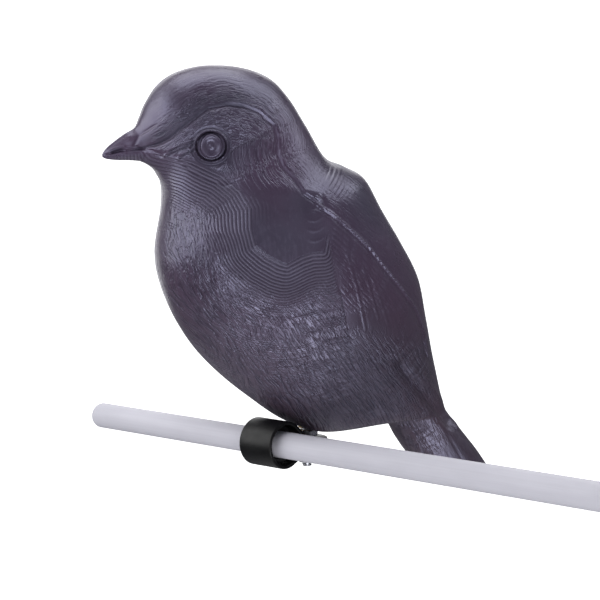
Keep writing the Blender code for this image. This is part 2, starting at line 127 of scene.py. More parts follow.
def add_node(
    tree: Tree,
    kind: str,
    settings: dict | None = None,
    values: dict | None = None,
    links: dict | None = None,
) -> bpy.types.Node:
    """Add one node to a node tree.

    Args:
        tree: The node tree that gets it.
        kind: Blender's name for the node's type.
        settings: Properties of the node, by name.
        values: Numbers or colours for its inputs, by name or index.
        links: Sockets that feed its inputs, by name or index.

    Returns:
        The new node.
    """
    node = tree.nodes.new(kind)
    for name, value in (settings or {}).items():
        setattr(node, name, value)
    for key, value in (values or {}).items():
        node.inputs[key].default_value = value
    for key, socket in (links or {}).items():
        tree.links.new(socket, node.inputs[key])
    return node


def mesh_object(
    name: str,
    points: Array | list[Point3],
    faces: list[Face],
    sharp_degrees: float = 40.0,
) -> bpy.types.Object:
    """Make an object from points in millimetres, its faces turned outwards.

    Args:
        name: The object's name.
        points: Rows of x, y and z in millimetres.
        faces: Tuples of point numbers.
        sharp_degrees: Edges that turn by more than this stay crisp.

    Returns:
        The object, linked to the scene.
    """
    mesh = bpy.data.meshes.new(name)
    mesh.from_pydata(np.asarray(points, float) * MM, [], faces)
    shape = bmesh.new()
    shape.from_mesh(mesh)
    bmesh.ops.recalc_face_normals(shape, faces=shape.faces)
    shape.to_mesh(mesh)
    shape.free()
    mesh.shade_smooth()
    mesh.set_sharp_from_angle(angle=math.radians(sharp_degrees))
    result = bpy.data.objects.new(name, mesh)
    bpy.context.scene.collection.objects.link(result)
    return result


def turned(profile: list[Point2], sides: int, bored: bool = False) -> Solid:
    """Turn a profile about Z.

    Args:
        profile: Points (radius, height); a radius of nothing is a pole.
        sides: How many sides the turned piece has.
        bored: True if the profile closes on itself round a bore.

    Returns:
        The points and the faces.
    """
    points, rings, faces = [], [], []
    for radius, height in profile:
        count = sides if radius > 1e-6 else 1
        rings.append([len(points) + i for i in range(count)])
        for i in range(count):
            turn = math.tau * i / sides
            points.append((radius * math.cos(turn), radius * math.sin(turn), height))
    pairs = list(zip(rings, rings[1:]))
    if bored:
        pairs.append((rings[-1], rings[0]))
    for low, high in pairs:
        for i in range(sides):
            corners = [low[i % len(low)], low[(i + 1) % len(low)]]
            corners += [high[(i + 1) % len(high)], high[i % len(high)]]
            faces.append(tuple(dict.fromkeys(corners)))
    return points, faces


def band(here: int, there: int, count: int) -> list[Face]:
    """Return the faces between two closed rings of points, by the number of each ring's first."""
    after = [(i + 1) % count for i in range(count)]
    return [(here + i, here + after[i], there + after[i], there + i) for i in range(count)]


def moved(points: list[Point3], place: Matrix) -> list[Point3]:
    """Return the points carried by a matrix whose place is in millimetres."""
    return [tuple(place @ Vector(point)) for point in points]


def placed(place_mm: Point3, heading: float = 0.0) -> Matrix:
    """Return the matrix of a place in millimetres with a turn about Z."""
    return Matrix.Translation(Vector(place_mm) * MM) @ Matrix.Rotation(heading, 4, "Z")


def settle(piece: bpy.types.Object, place_mm: Point3, heading: float = 0.0) -> bpy.types.Object:
    """Carry a piece's points to their place in the row frame and return the piece."""
    piece.data.transform(placed(place_mm, heading))
    return piece


def cut_and_join(target: bpy.types.Object, helper: bpy.types.Object, operation: str) -> None:
    """Apply a Boolean to an object for good and remove the helper.

    Args:
        target: The object that changes.
        helper: The closed solid that is added or taken away.
        operation: UNION or DIFFERENCE.
    """
    modifier = target.modifiers.new("cut", "BOOLEAN")
    modifier.operation = operation
    modifier.object = helper
    modifier.solver = "MANIFOLD"
    graph = bpy.context.evaluated_depsgraph_get()
    made = bpy.data.meshes.new_from_object(target.evaluated_get(graph))
    target.modifiers.clear()
    old, name = target.data, target.data.name
    target.data = made
    bpy.data.meshes.remove(old)
    made.name = name
    bpy.data.objects.remove(helper)


class Noise:
    """Smooth value noise on a plane, the same every time for a seed."""

    SIZE = 256

    def __init__(self, seed: int) -> None:
        """Fill the table of heights from a seeded generator."""
        self.table = np.random.default_rng(seed).uniform(-1.0, 1.0, (self.SIZE, self.SIZE))

    def at(self, u: Array, v: Array) -> Array:
        """Read the noise.

        Args:
            u: How many cells across each place is.
            v: How many cells along each place is.

        Returns:
            The noise there, from -1 to 1.
        """
        column, row = np.floor(u).astype(int), np.floor(v).astype(int)
        across, along = ease(0.0, 1.0, u - column), ease(0.0, 1.0, v - row)
        left, right = column % self.SIZE, (column + 1) % self.SIZE
        low, high = row % self.SIZE, (row + 1) % self.SIZE
        bottom = self.table[low, left] * (1 - across) + self.table[low, right] * across
        top = self.table[high, left] * (1 - across) + self.table[high, right] * across
        return bottom * (1 - along) + top * along


# ---------------------------------------------------------------- finishes


class Finish:
    """A finish: it makes its material once and gives it to every piece that asks."""

    name = "finish"
    made: dict[str, bpy.types.Material] = {}

    def material(self) -> bpy.types.Material:
        """Return the finish's material, made on first use."""
        if self.name not in Finish.made:
            material = bpy.data.materials.new(self.name)
            material.use_nodes = True
            tree = material.node_tree
            self.dress(tree, tree.nodes["Principled BSDF"])
            Finish.made[self.name] = material
        return Finish.made[self.name]

    def dress(self, tree: Tree, shader: Shader) -> None:
        """Set the shader's values and add the finish's nodes to the tree."""
        raise NotImplementedError

    def object_place(self, tree: Tree) -> Socket:
        """Return the socket with the place on the piece, in metres."""
        return add_node(tree, "ShaderNodeTexCoord").outputs["Object"]

    def kept(self, tree: Tree, name: str) -> Socket:
        """Return the socket with the number that the piece's points keep under a name."""
        return add_node(tree, "ShaderNodeAttribute", {"attribute_name": name}).outputs["Fac"]

    def noise(
        self,
        tree: Tree,
        place: Socket,
        size_mm: float,
        detail: float = 2.0,
        stretch: Point3 = (1.0, 1.0, 1.0),
    ) -> Socket:
        """Return a noise factor socket.

        Args:
            tree: The node tree.
            place: The socket with the place.
            size_mm: The size of one blotch in millimetres.
            detail: How many finer layers ride on it.
            stretch: How much longer the blotches are along each axis.

        Returns:
            The socket with a number about one half.
        """
        shrink = tuple(1.0 / s for s in stretch)
        return self.stretched_noise(tree, place, shrink, (per_metre(size_mm), detail, 0.55))

    def stretched_noise(
        self,
        tree: Tree,
        place: Socket,
        stretch: Point3,
        texture: Point3,
        distortion: float = 0.0,
    ) -> Socket:
        """Return a noise factor socket, from a place that is scaled first.

        Args:
            tree: The node tree.
            place: The socket with the place.
            stretch: What the place is multiplied by along each axis.
            texture: The noise's scale, how many finer layers ride on it, and how strong they are.
            distortion: How much the noise is folded.

        Returns:
            The socket with a number about one half.
        """
        fitted = add_node(tree, "ShaderNodeMapping", values={"Scale": stretch}, links={"Vector": place})
        scale, detail, roughness = texture
        values = {"Scale": scale, "Detail": detail, "Roughness": roughness, "Distortion": distortion}
        links = {"Vector": fitted.outputs[0]}
        return add_node(tree, "ShaderNodeTexNoise", values=values, links=links).outputs[0]

    def sum_of(self, tree: Tree, operation: str, *terms: Socket | float) -> Socket:
        """Work out a sum in the material.

        Args:
            tree: The node tree.
            operation: Blender's name for the sum.
            terms: The sockets and numbers that go in, in order.

        Returns:
            The socket with the answer.
        """
        numbers = {i: term for i, term in enumerate(terms) if isinstance(term, float)}
        sockets = {i: term for i, term in enumerate(terms) if not isinstance(term, float)}
        return add_node(tree, "ShaderNodeMath", {"operation": operation}, numbers, sockets).outputs[0]

    def between(self, tree: Tree, factor: Socket, low: str, high: str) -> Socket:
        """Return the colour socket that goes from one sRGB colour to another with a factor."""
        ends = {6: linear(low), 7: linear(high)}
        return add_node(tree, "ShaderNodeMix", {"data_type": "RGBA"}, ends, {0: factor}).outputs[2]

    def tint(self, tree: Tree, factor: Socket, colour: Socket, towards: str) -> Socket:
        """Return the colour socket that carries a colour towards an sRGB one with a factor."""
        links = {0: factor, 6: colour}
        return add_node(tree, "ShaderNodeMix", {"data_type": "RGBA"}, {7: linear(towards)}, links).outputs[2]

    def spread(
        self,
        tree: Tree,
        factor: Socket,
        low: float,
        high: float,
        from_low: float = 0.3,
        from_high: float = 0.7,
    ) -> Socket:
        """Carry a factor from one span to another.

        Args:
            tree: The node tree.
            factor: The socket that is read.
            low: What it becomes at the low end.
            high: What it becomes at the high end.
            from_low: Where its own span starts.
            from_high: Where its own span ends.

        Returns:
            The socket with the new number, held within its span.
        """
        ends = {"From Min": from_low, "From Max": from_high, "To Min": low, "To Max": high}
        return add_node(tree, "ShaderNodeMapRange", values=ends, links={"Value": factor}).outputs[0]

    def blend(
        self,
        tree: Tree,
        shader: Shader,
        factor: Socket,
        colours: tuple[str, str],
        gloss: Point2,
    ) -> None:
        """Let one factor carry both the colour and the roughness.

        Args:
            tree: The node tree.
            shader: The shader that is set.
            factor: The socket that goes from 0 to 1.
            colours: The sRGB colours at 0 and at 1.
            gloss: The roughness at 0 and at 1.
        """
        tree.links.new(self.between(tree, factor, *colours), shader.inputs["Base Color"])
        tree.links.new(self.spread(tree, factor, *gloss, 0.0, 1.0), shader.inputs["Roughness"])

    def bump(
        self,
        tree: Tree,
        shader: Shader,
        height: Socket,
        depth_mm: float,
        below: Socket | None = None,
    ) -> Socket:
        """Add relief of a real depth.

        Args:
            tree: The node tree.
            shader: The shader whose normal it bends.
            height: The socket with the height, from 0 to 1.
            depth_mm: How deep the relief is in millimetres.
            below: The normal of any relief that lies under it.

        Returns:
            The normal socket.
        """
        links = {"Height": height}
        if below is not None:
            links["Normal"] = below
        node = add_node(tree, "ShaderNodeBump", values={"Distance": depth_mm * MM}, links=links)
        tree.links.new(node.outputs[0], shader.inputs["Normal"])
        return node.outputs[0]


@dataclass(frozen=True)
class CastResin(Finish):
    """Dark urethane resin, cast in a mould that was taken off a layered master."""

    name: str = "cast_urethane_from_layered_master"
    plum: str = "#463548"
    slate: str = "#3f3948"
    umber: str = "#44373b"
    # A pale tone for scuffs and for painted highlights.
    scuff_and_highlight: str = "#5a5366"
    # The pale tone of the painted highlight on the layers' crests.
    crest_highlight: str = "#6e687b"
    # The dark tone of the painted shade.
    shade_tint: str = "#231c28"
    sheen_level: float = 0.9
    roughness: float = 0.3
    layer_depth_mm: float = 0.34
    stroke_length_mm: float = 3.6
    stroke_width_mm: float = 0.8
    stroke_depth_mm: float = 0.22
    grain_mm: float = 0.55
    grain_depth_mm: float = 0.022

    def skin_colour(self, tree: Tree, place: Socket) -> Socket:
        """Return the colour of the clean casting, with its clouds, its scuffs and its painted highlights.

        Args:
            tree: The material's node tree.
            place: The socket with the place on the piece, in metres.

        Returns:
            The colour socket.
        """
        # Pigment that settled unevenly gives the eye slow clouds from plum to slate.
        clouds = self.spread(tree, self.noise(tree, place, 34.0, 3.0), 0.0, 1.0)
        colour = self.between(tree, clouds, self.plum, self.slate)
        # The belly is a little browner than the back.
        height = add_node(tree, "ShaderNodeSeparateXYZ", links={0: place}).outputs["Z"]
        lowness = self.spread(tree, height, 0.75, 0.0, 0.0, 0.075)
        colour = self.tint(tree, lowness, colour, self.umber)
        # Tiny pale flecks where the casting scuffed, plus painted highlights on the flank, wing edge and
        # brow.
        speckle = self.noise(tree, place, 1.1, 3.0, (1.0, 1.0, 2.6))
        scuff_and_highlight_mask = self.sum_of(tree, "MULTIPLY_ADD", self.kept(tree, "wear_and_highlight"), 0.25, speckle)
        return self.tint(tree, self.spread(tree, scuff_and_highlight_mask, 0.0, 0.5, 0.58, 0.86), colour, self.scuff_and_highlight)

    def terraces(self, tree: Tree, strength: Socket) -> Socket:
        """Return the height of the layers: the tread rises slowly and the riser falls quickly.

        Args:
            tree: The material's node tree.
            strength: The socket with the layers' strength.

        Returns:
            The socket with the height, from 0 to 1.
        """
        count = self.sum_of(tree, "MULTIPLY", self.kept(tree, "layer_mm"), 1.0 / LAYER_PITCH)
        share = self.sum_of(tree, "FRACT", count)
        tread = self.spread(tree, share, 0.0, 1.0, 0.0, 0.62)
        riser = self.spread(tree, share, 1.0, 0.0, 0.66, 0.98)
        return self.sum_of(tree, "MULTIPLY", self.sum_of(tree, "MINIMUM", tread, riser), strength)

    def strokes(self, tree: Tree) -> Socket:
        """Return the height of the tool strokes that run with the layers and break them up.

        Args:
            tree: The material's node tree.

        Returns:
            The socket with the height, from 0 to 1.
        """
        across, along = self.kept(tree, "stroke_across_mm"), self.kept(tree, "stroke_along_mm")
        flow = add_node(tree, "ShaderNodeCombineXYZ", links={"X": across, "Y": along}).outputs[0]
        cells = (1.0 / self.stroke_width_mm, 1.0 / self.stroke_length_mm, 1.0)
        stroke = self.stretched_noise(tree, flow, cells, (1.0, 2.0, 0.6), 0.25)
        return self.spread(tree, stroke, 0.0, 1.0, 0.37, 0.56)

    def dress(self, tree: Tree, shader: Shader) -> None:
        """Set the cast resin: cloudy plum colour, soft gloss, layer terraces and a fine grain.

        Args:
            tree: The material's node tree.
            shader: The material's shader.
        """
        place = self.object_place(tree)
        shader.inputs["IOR"].default_value = 1.5
        shader.inputs["Specular Tint"].default_value = linear(RESIN_SHEEN)
        shader.inputs["Specular IOR Level"].default_value = self.sheen_level
        colour = self.skin_colour(tree, place)
        # The gloss comes and goes with handling.
        gloss = self.noise(tree, place, 9.0, 4.0)
        rough = self.spread(tree, gloss, self.roughness - 0.06, self.roughness + 0.09)
        # The crests of the layers are painted pale: a painted highlight for the glint on their edges.
        strength = self.kept(tree, "layer_strength")
        shaped = self.terraces(tree, strength)
        colour = self.tint(tree, self.sum_of(tree, "MULTIPLY", shaped, 0.75), colour, self.crest_highlight)
        relief = self.bump(tree, shader, shaped, self.layer_depth_mm)
        stroke, depth = self.strokes(tree), self.kept(tree, "stroke_strength")
        # Painted shade darkens the grooves of strokes and layers, and hollows and other marked places.
        painted_shade = self.kept(tree, "painted_shade")
        shade = self.sum_of(tree, "MULTIPLY", self.sum_of(tree, "SUBTRACT", 1.0, stroke), depth)
        lows = self.sum_of(tree, "SUBTRACT", strength, shaped)
        shade_amount = self.sum_of(tree, "MULTIPLY_ADD", shade, 0.5, painted_shade)
        shade_amount = self.sum_of(tree, "MULTIPLY_ADD", lows, 0.45, shade_amount)
        tree.links.new(self.tint(tree, shade_amount, colour, self.shade_tint), shader.inputs["Base Color"])
        # The places marked for shade are also made rougher.
        tree.links.new(self.sum_of(tree, "MULTIPLY_ADD", painted_shade, 0.34, rough), shader.inputs["Roughness"])
        cut = self.sum_of(tree, "MULTIPLY", stroke, depth)
        relief = self.bump(tree, shader, cut, self.stroke_depth_mm, relief)
        # A fine grain, finer still in truth, drawn as coarse as it can show.
        self.bump(tree, shader, self.noise(tree, place, self.grain_mm, 2.0), self.grain_depth_mm, relief)


@dataclass(frozen=True)
class EyeResin(Finish):
    """The same dark resin, polished a little more, for the eye beads."""

    name: str = "polished_cast_urethane"
    dark: str = "#3f3647"
    pale: str = "#4d4556"

    def dress(self, tree: Tree, shader: Shader) -> None:
        """Set the bead: a softer sheen than the body and faint turning marks.

        Args:
            tree: The material's node tree.
            shader: The material's shader.
        """
        place = self.object_place(tree)
        shader.inputs["IOR"].default_value = 1.5
        clouds = self.spread(tree, self.noise(tree, place, 2.4, 3.0), 0.0, 1.0)
        shader.inputs["Specular Tint"].default_value = linear(RESIN_SHEEN)
        shader.inputs["Specular IOR Level"].default_value = 0.75
        self.blend(tree, shader, clouds, (self.dark, self.pale), (0.24, 0.34))
        self.bump(tree, shader, self.noise(tree, place, 0.45, 2.0), 0.012)


@dataclass(frozen=True)
class DippedStrap(Finish):
    """Spring strap dipped in black vinyl: satin, with a faint orange peel and scuffs."""

    name: str = "vinyl_dipped_spring_strap"
    black: str = "#080809"
    wear_and_highlight: str = "#151517"

    def dress(self, tree: Tree, shader: Shader) -> None:
        """Set the strap: near black, a soft broad highlight and small scuffs along it.

        Args:
            tree: The material's node tree.
            shader: The material's shader.
        """
        place = self.object_place(tree)
        shader.inputs["IOR"].default_value = 1.5
        scuffs = self.spread(tree, self.noise(tree, place, 0.8, 4.0, (5.0, 1.0, 1.0)), 0.0, 0.8, 0.55, 0.8)
        tree.links.new(self.between(tree, scuffs, self.black, self.wear_and_highlight), shader.inputs["Base Color"])
        satin = self.noise(tree, place, 3.0, 3.0)
        tree.links.new(self.spread(tree, satin, 0.34, 0.46), shader.inputs["Roughness"])
        shader.inputs["Specular IOR Level"].default_value = 0.24
        peel = self.noise(tree, place, 1.3, 2.0)
        self.bump(tree, shader, peel, 0.035)


@dataclass(frozen=True)
class ZincPlate(Finish):
    """Zinc plated steel: bright, slightly blue, with fine turning marks."""

    name: str = "zinc_plated_turned_steel"
    bright: str = "#d5d6dc"
    dull: str = "#a9a9ac"

    def dress(self, tree: Tree, shader: Shader) -> None:
        """Set the plate: a clean metal with spangle-like clouds in its gloss.

        Args:
            tree: The material's node tree.
            shader: The material's shader.
        """
        place = self.object_place(tree)
        shader.inputs["Metallic"].default_value = 1.0
        clouds = self.spread(tree, self.noise(tree, place, 1.8, 4.0), 0.0, 1.0)
        self.blend(tree, shader, clouds, (self.bright, self.dull), (0.2, 0.38))
        marks = self.noise(tree, place, 0.12, 2.0, (6.0, 6.0, 1.0))
        self.bump(tree, shader, marks, 0.006)


@dataclass(frozen=True)
class TurnedBrass(Finish):
    """Free-cutting brass, turned and left bright."""

    name: str = "turned_brass"
    bright: str = "#d9b45e"
    dull: str = "#a5813c"

    def dress(self, tree: Tree, shader: Shader) -> None:
        """Set the brass: yellow metal, a little tarnished, with turning rings.

        Args:
            tree: The material's node tree.
            shader: The material's shader.
        """
        place = self.object_place(tree)
        shader.inputs["Metallic"].default_value = 1.0
        tarnish = self.spread(tree, self.noise(tree, place, 1.5, 4.0), 0.0, 1.0)
        self.blend(tree, shader, tarnish, (self.bright, self.dull), (0.25, 0.45))
        self.bump(tree, shader, self.noise(tree, place, 0.15, 2.0, (8.0, 8.0, 1.0)), 0.008)


@dataclass(frozen=True)
class SleeveRubber(Finish):
    """Moulded nitrile rubber: matt black with a dusty bloom."""

    name: str = "moulded_nitrile_rubber"
    black: str = "#131314"
    bloom: str = "#242426"

    def dress(self, tree: Tree, shader: Shader) -> None:
        """Set the rubber: deep, dull, with a fine leathery skin.

        Args:
            tree: The material's node tree.
            shader: The material's shader.
        """
        place = self.object_place(tree)
        bloom = self.spread(tree, self.noise(tree, place, 2.2, 4.0), 0.0, 1.0)
        self.blend(tree, shader, bloom, (self.black, self.bloom), (0.7, 0.88))
        self.bump(tree, shader, self.noise(tree, place, 0.4, 3.0), 0.03)


@dataclass(frozen=True)
class RodCoat(Finish):
    """Fibreglass rod with a drawn-on pale coat: smooth and nearly matt, with faint draw lines."""

    name: str = "drawn_coat_on_fibreglass"
    pale: str = "#c1c0c9"
    shaded: str = "#bab9c2"

    def dress(self, tree: Tree, shader: Shader) -> None:
        """Set the coat: pale lilac grey, long draw lines and a little mottling.

        Args:
            tree: The material's node tree.
            shader: The material's shader.
        """
        place = self.object_place(tree)
        shader.inputs["IOR"].default_value = 1.46
        lines = self.noise(tree, place, 0.7, 3.0, (60.0, 1.0, 1.0))
        mottle = self.noise(tree, place, 11.0, 3.0, (2.5, 1.0, 1.0))
        tone = self.spread(tree, self.sum_of(tree, "ADD", lines, mottle), 0.0, 1.0, 0.75, 1.25)
        tree.links.new(self.between(tree, tone, self.pale, self.shaded), shader.inputs["Base Color"])
        tree.links.new(self.spread(tree, mottle, 0.45, 0.58), shader.inputs["Roughness"])
        shader.inputs["Specular IOR Level"].default_value = 0.3
        relief = self.bump(tree, shader, lines, 0.006)
        self.bump(tree, shader, self.noise(tree, place, 0.5, 2.0), 0.012, relief)


@dataclass(frozen=True)
class PinPlastic(Finish):
    """Injection moulded acetal: waxy, off white."""

    name: str = "moulded_acetal"
    pale: str = "#d8d6cf"
    shaded: str = "#c4c1b8"

    def dress(self, tree: Tree, shader: Shader) -> None:
        """Set the acetal: waxy skin with slow tone changes from the melt's flow.

        Args:
            tree: The material's node tree.
            shader: The material's shader.
        """
        place = self.object_place(tree)
        flow = self.spread(tree, self.noise(tree, place, 2.0, 3.0, (1.0, 3.0, 1.0)), 0.0, 1.0)
        self.blend(tree, shader, flow, (self.pale, self.shaded), (0.35, 0.48))
        shader.inputs["Subsurface Weight"].default_value = 0.08
        self.bump(tree, shader, self.noise(tree, place, 0.35, 2.0), 0.012)


@dataclass(frozen=True)
class SweepPaper(Finish):
    """White studio paper."""

    name: str = "studio_paper"
    white: str = "#f0f0f0"
    shaded: str = "#ebebeb"
    glow: Point2 = (0.5, 1.0)

    def dress(self, tree: Tree, shader: Shader) -> None:
        """Set the paper: white and matt with a fine tooth.

        Args:
            tree: The material's node tree.
            shader: The material's shader.
        """
        place = self.object_place(tree)
        tooth = self.spread(tree, self.noise(tree, place, 3.0, 3.0), 0.0, 1.0)
        tree.links.new(self.between(tree, tooth, self.white, self.shaded), shader.inputs["Base Color"])
        shader.inputs["Roughness"].default_value = 0.9
        shader.inputs["Specular IOR Level"].default_value = 0.1
        # Painted light: the paper glows, more on its far part, so that the ground there is clean white.
        axes = add_node(tree, "ShaderNodeSeparateXYZ", links={0: place})
        lit = self.spread(tree, axes.outputs["Y"], self.glow[0], self.glow[1], 0.1, 0.7)
        shader.inputs["Emission Color"].default_value = linear("#ffffff")
        tree.links.new(lit, shader.inputs["Emission Strength"])


def finish_piece(
    piece: bpy.types.Object,
    body: str,
    nodes: tuple[str, ...],
    finish: Finish,
) -> None:
    """Give a piece its finish, its body, its CAD nodes and its material slot.

    Args:
        piece: The new piece, already in place.
        body: The CAD body that it rides on.
        nodes: The CAD nodes that it stands for.
        finish: The finish that makes its material.
    """
    piece.data.materials.clear()
    piece.data.materials.append(finish.material())
    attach(piece, body)
    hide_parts(*nodes)
    log.info("%s rides on %s, %d faces", piece.name, body, len(piece.data.polygons))


# ---------------------------------------------------------------- the bird's form

# Cross-sections of the body from bill tip to tail tip, as in the CAD. Each names its back point
# and its breast point as (forward, up), its half width, the place of its widest point as a share
# of the way from back to breast, and its fullness (2 is an ellipse, more is squarer).
STATIONS = (
    ((74.2, 103.4), (74.2, 102.3), 0.5, 0.50, 2.0),
    ((72.8, 105.5), (73.0, 101.5), 1.9, 0.55, 2.0),
    ((69.6, 108.1), (69.4, 101.0), 3.3, 0.60, 2.0),
    ((66.2, 110.5), (65.0, 100.9), 5.0, 0.62, 2.0),
    ((62.8, 112.6), (61.0, 100.5), 7.4, 0.62, 2.0),
    ((61.0, 116.2), (58.5, 99.6), 9.8, 0.60, 2.0),
    ((58.9, 121.0), (55.9, 97.7), 12.6, 0.58, 2.0),
    ((54.5, 127.2), (54.2, 95.2), 15.4, 0.56, 2.0),
    ((48.0, 131.7), (53.0, 92.8), 17.8, 0.54, 2.0),
    ((37.6, 134.2), (52.5, 89.8), 20.0, 0.53, 2.05),
    ((25.0, 133.6), (52.7, 86.0), 21.4, 0.52, 2.1),
    ((14.6, 129.9), (53.2, 82.0), 22.2, 0.52, 2.1),
    ((7.4, 122.6), (54.0, 77.8), 23.2, 0.52, 2.1),
    ((1.5, 113.2), (54.8, 72.8), 26.0, 0.53, 2.15),
    ((-5.2, 102.1), (55.1, 67.0), 29.4, 0.54, 2.2),
    ((-12.2, 98.7), (54.2, 60.2), 31.3, 0.54, 2.25),
    ((-20.0, 94.2), (51.8, 52.3), 31.3, 0.53, 2.25),
    ((-26.6, 83.0), (47.6, 43.2), 30.5, 0.51, 2.2),
    ((-34.0, 71.1), (41.1, 33.4), 29.2, 0.50, 2.15),
    ((-40.8, 58.3), (32.3, 24.2), 27.4, 0.50, 2.1),
    ((-44.0, 44.0), (21.0, 15.0), 25.4, 0.50, 2.1),
    ((-46.7, 30.0), (9.4, 7.0), 22.4, 0.48, 2.1),
    ((-49.2, 18.5), (-3.6, 2.2), 19.0, 0.46, 2.1),
    ((-51.2, 10.4), (-15.0, 4.0), 15.8, 0.43, 2.1),
    ((-53.3, 6.8), (-24.6, 7.6), 13.4, 0.41, 2.2),
    ((-56.4, 3.0), (-30.0, 5.4), 12.9, 0.42, 2.3),
    ((-60.3, -1.9), (-34.8, -2.2), 13.0, 0.44, 2.5),
    ((-64.0, -6.8), (-40.4, -9.4), 13.0, 0.44, 2.7),
    ((-67.2, -11.6), (-50.0, -17.4), 12.6, 0.42, 2.8),
)


class Trail:
    """A drawn line on the bird's side, as points (forward, up) in millimetres."""

    def __init__(self, *points: Point2) -> None:
        """Keep the line's corners."""
        self.points = np.array(points, float)

    def measure(self, forward: Array, up: Array) -> tuple[Array, Array]:
        """Measure places against the line.

        Args:
            forward: How far forward each place is.
            up: How far up each place is.

        Returns:
            The distance to the line, positive on its right hand side as it is drawn, and how far
            along the line the nearest point is.
        """
        best = np.full(forward.shape, np.inf)
        side = np.ones(forward.shape)
        along = np.zeros(forward.shape)
        run = 0.0
        for start, end in zip(self.points, self.points[1:]):
            step = end - start
            length = float(np.hypot(*step))
            off_x, off_y = forward - start[0], up - start[1]
            share = np.clip((off_x * step[0] + off_y * step[1]) / length**2, 0.0, 1.0)
            gap = np.hypot(off_x - share * step[0], off_y - share * step[1])
            nearer = gap < best
            cross = step[0] * off_y - step[1] * off_x
            side = np.where(nearer, np.where(cross > 0, -1.0, 1.0), side)
            along = np.where(nearer, run + share * length, along)
            best = np.where(nearer, gap, best)
            run += length
        return best * side, along

    def gap(self, forward: Array, up: Array) -> Array:
        """Return only the distance to the line."""
        return self.measure(forward, up)[0]


class Outline(Trail):
    """A closed drawn line; distances are negative inside it."""

    def __init__(self, *points: Point2) -> None:
        """Keep the corners and close the line."""
        super().__init__(*points, points[0])

    def measure(self, forward: Array, up: Array) -> tuple[Array, Array]:
        """Measure places against the outline.

        Args:
            forward: How far forward each place is.
            up: How far up each place is.

        Returns:
            The distance to the outline, negative inside it, and how far round it the nearest
            point is.
        """
        gap, along = super().measure(forward, up)
        inside = np.zeros(forward.shape, bool)
        for (x1, y1), (x2, y2) in zip(self.points, self.points[1:]):
            crosses = (y1 > up) != (y2 > up)
            where = (x2 - x1) * (up - y1) / (y2 - y1 if y2 != y1 else 1e-9) + x1
            inside ^= crosses & (forward < where)
        return np.where(inside, -np.abs(gap), np.abs(gap)), along


BROW = Trail(
    (66.5, 103.6),
    (63.5, 105.1),
    (57.5, 106.8),
    (54.1, 109.0),
    (50.5, 112.3),
    (44.6, 117.0),
    (40.3, 119.8),
    (34.1, 120.9),
    (27.8, 120.1),
    (22.4, 118.0),
    (17.0, 113.3),
    (16.1, 109.1),
    (16.7, 103.7),
    (15.4, 99.4),
    (11.1, 94.5),
    (8.4, 89.7),
    (4.4, 87.0),
)
WING = Trail(
    (4.4, 87.0),
    (-2.1, 82.7),
    (-8.0, 78.0),
    (-16.0, 71.0),
    (-22.8, 62.9),
    (-29.5, 55.6),
    (-36.6, 47.1),
    (-40.0, 39.7),
    (-41.5, 30.0),
)
FEATHERS = (
    Trail((-11.2, 68.5), (-15.5, 57.0), (-19.0, 45.6)),
    Trail((-15.0, 64.1), (-19.5, 53.0), (-23.0, 43.5)),
    Trail((-5.9, 71.9), (-10.5, 57.0), (-14.1, 42.0)),
    Trail((-20.5, 60.0), (-26.0, 49.0), (-30.0, 38.0)),
)
FLANK_CREASE = Trail((-29.0, 27.5), (-32.3, 23.0), (-38.8, 17.3), (-46.5, 9.6), (-51.0, 5.0))
FOLD = Trail((2.0, 90.0), (0.4, 84.0), (0.0, 76.0), (-1.6, 66.0), (-4.0, 56.0))
# The plateau's edge from its front round its foot to the fold, and the jaw's edge.
SHOULDER_EDGE = (
    (27.7, 78.0),
    (26.4, 72.5),
    (22.5, 69.2),
    (17.8, 66.6),
    (15.7, 66.0),
    (10.5, 68.4),
    (6.5, 69.6),
    (2.2, 69.7),
    (0.7, 76.0),
    (0.7, 83.1),
    (4.4, 86.5),
    (9.0, 91.0),
    (14.0, 99.0),
)
JAW_EDGE = ((57.0, 104.5), (46.0, 101.5), (36.5, 96.8), (30.5, 91.0))
PLATEAU = Outline((27.2, 99.0), (27.0, 89.3), *SHOULDER_EDGE)
LAYER_START = Outline(*JAW_EDGE, (27.6, 85.0), *SHOULDER_EDGE, (16.0, 116.0), (34.0, 122.0), (50.0, 113.5))
BREAST = Trail(
    (58.0, 112.0),
    (63.0, 100.0),
    (65.8, 88.5),
    (67.7, 70.6),
    (64.0, 52.5),
    (54.7, 34.3),
    (36.2, 14.0),
    (15.9, 1.0),
    (-10.0, -9.0),
)
# The middle line of the painted highlight on the flank.
FLANK_HIGHLIGHT = Trail((22.0, 70.0), (8.0, 57.0), (-4.0, 42.0), (-12.0, 30.0))
HEAD = Outline(
    (82.0, 102.0),
    *JAW_EDGE,
    (22.0, 88.0),
    (14.0, 87.5),
    (6.0, 88.5),
    (-6.0, 95.0),
    (-30.0, 112.0),
    (-30.0, 150.0),
    (82.0, 150.0),
)
GAPE = Trail((73.8, 102.9), (68.9, 104.3), (63.8, 105.1), (58.8, 104.4), (55.8, 102.7))
NOSTRIL = Trail((71.1, 104.0), (69.6, 104.6), (68.2, 104.9))
LORES = (
    Trail((53.9, 102.9), (49.5, 105.4), (44.8, 107.2)),
    Trail((53.2, 104.3), (49.5, 106.6), (45.4, 108.1)),
    Trail((49.9, 102.3), (47.0, 104.3), (44.4, 105.7)),
)
CHEEK = Trail((49.8, 100.6), (43.3, 95.4), (35.5, 92.9), (29.2, 95.4))
BILL_BASE = Trail((58.0, 113.5), (62.4, 110.2), (63.9, 106.6), (61.6, 104.6), (60.5, 99.0))
WING_FOOT = 47.0
RUFFLE = (-3.9, 94.5)
EYE_PLACE = (40.0, 106.3)
EYE_SOCKET_DEPTH = 1.7
LID_WIDE = 5.2
LID_TALL = 5.0


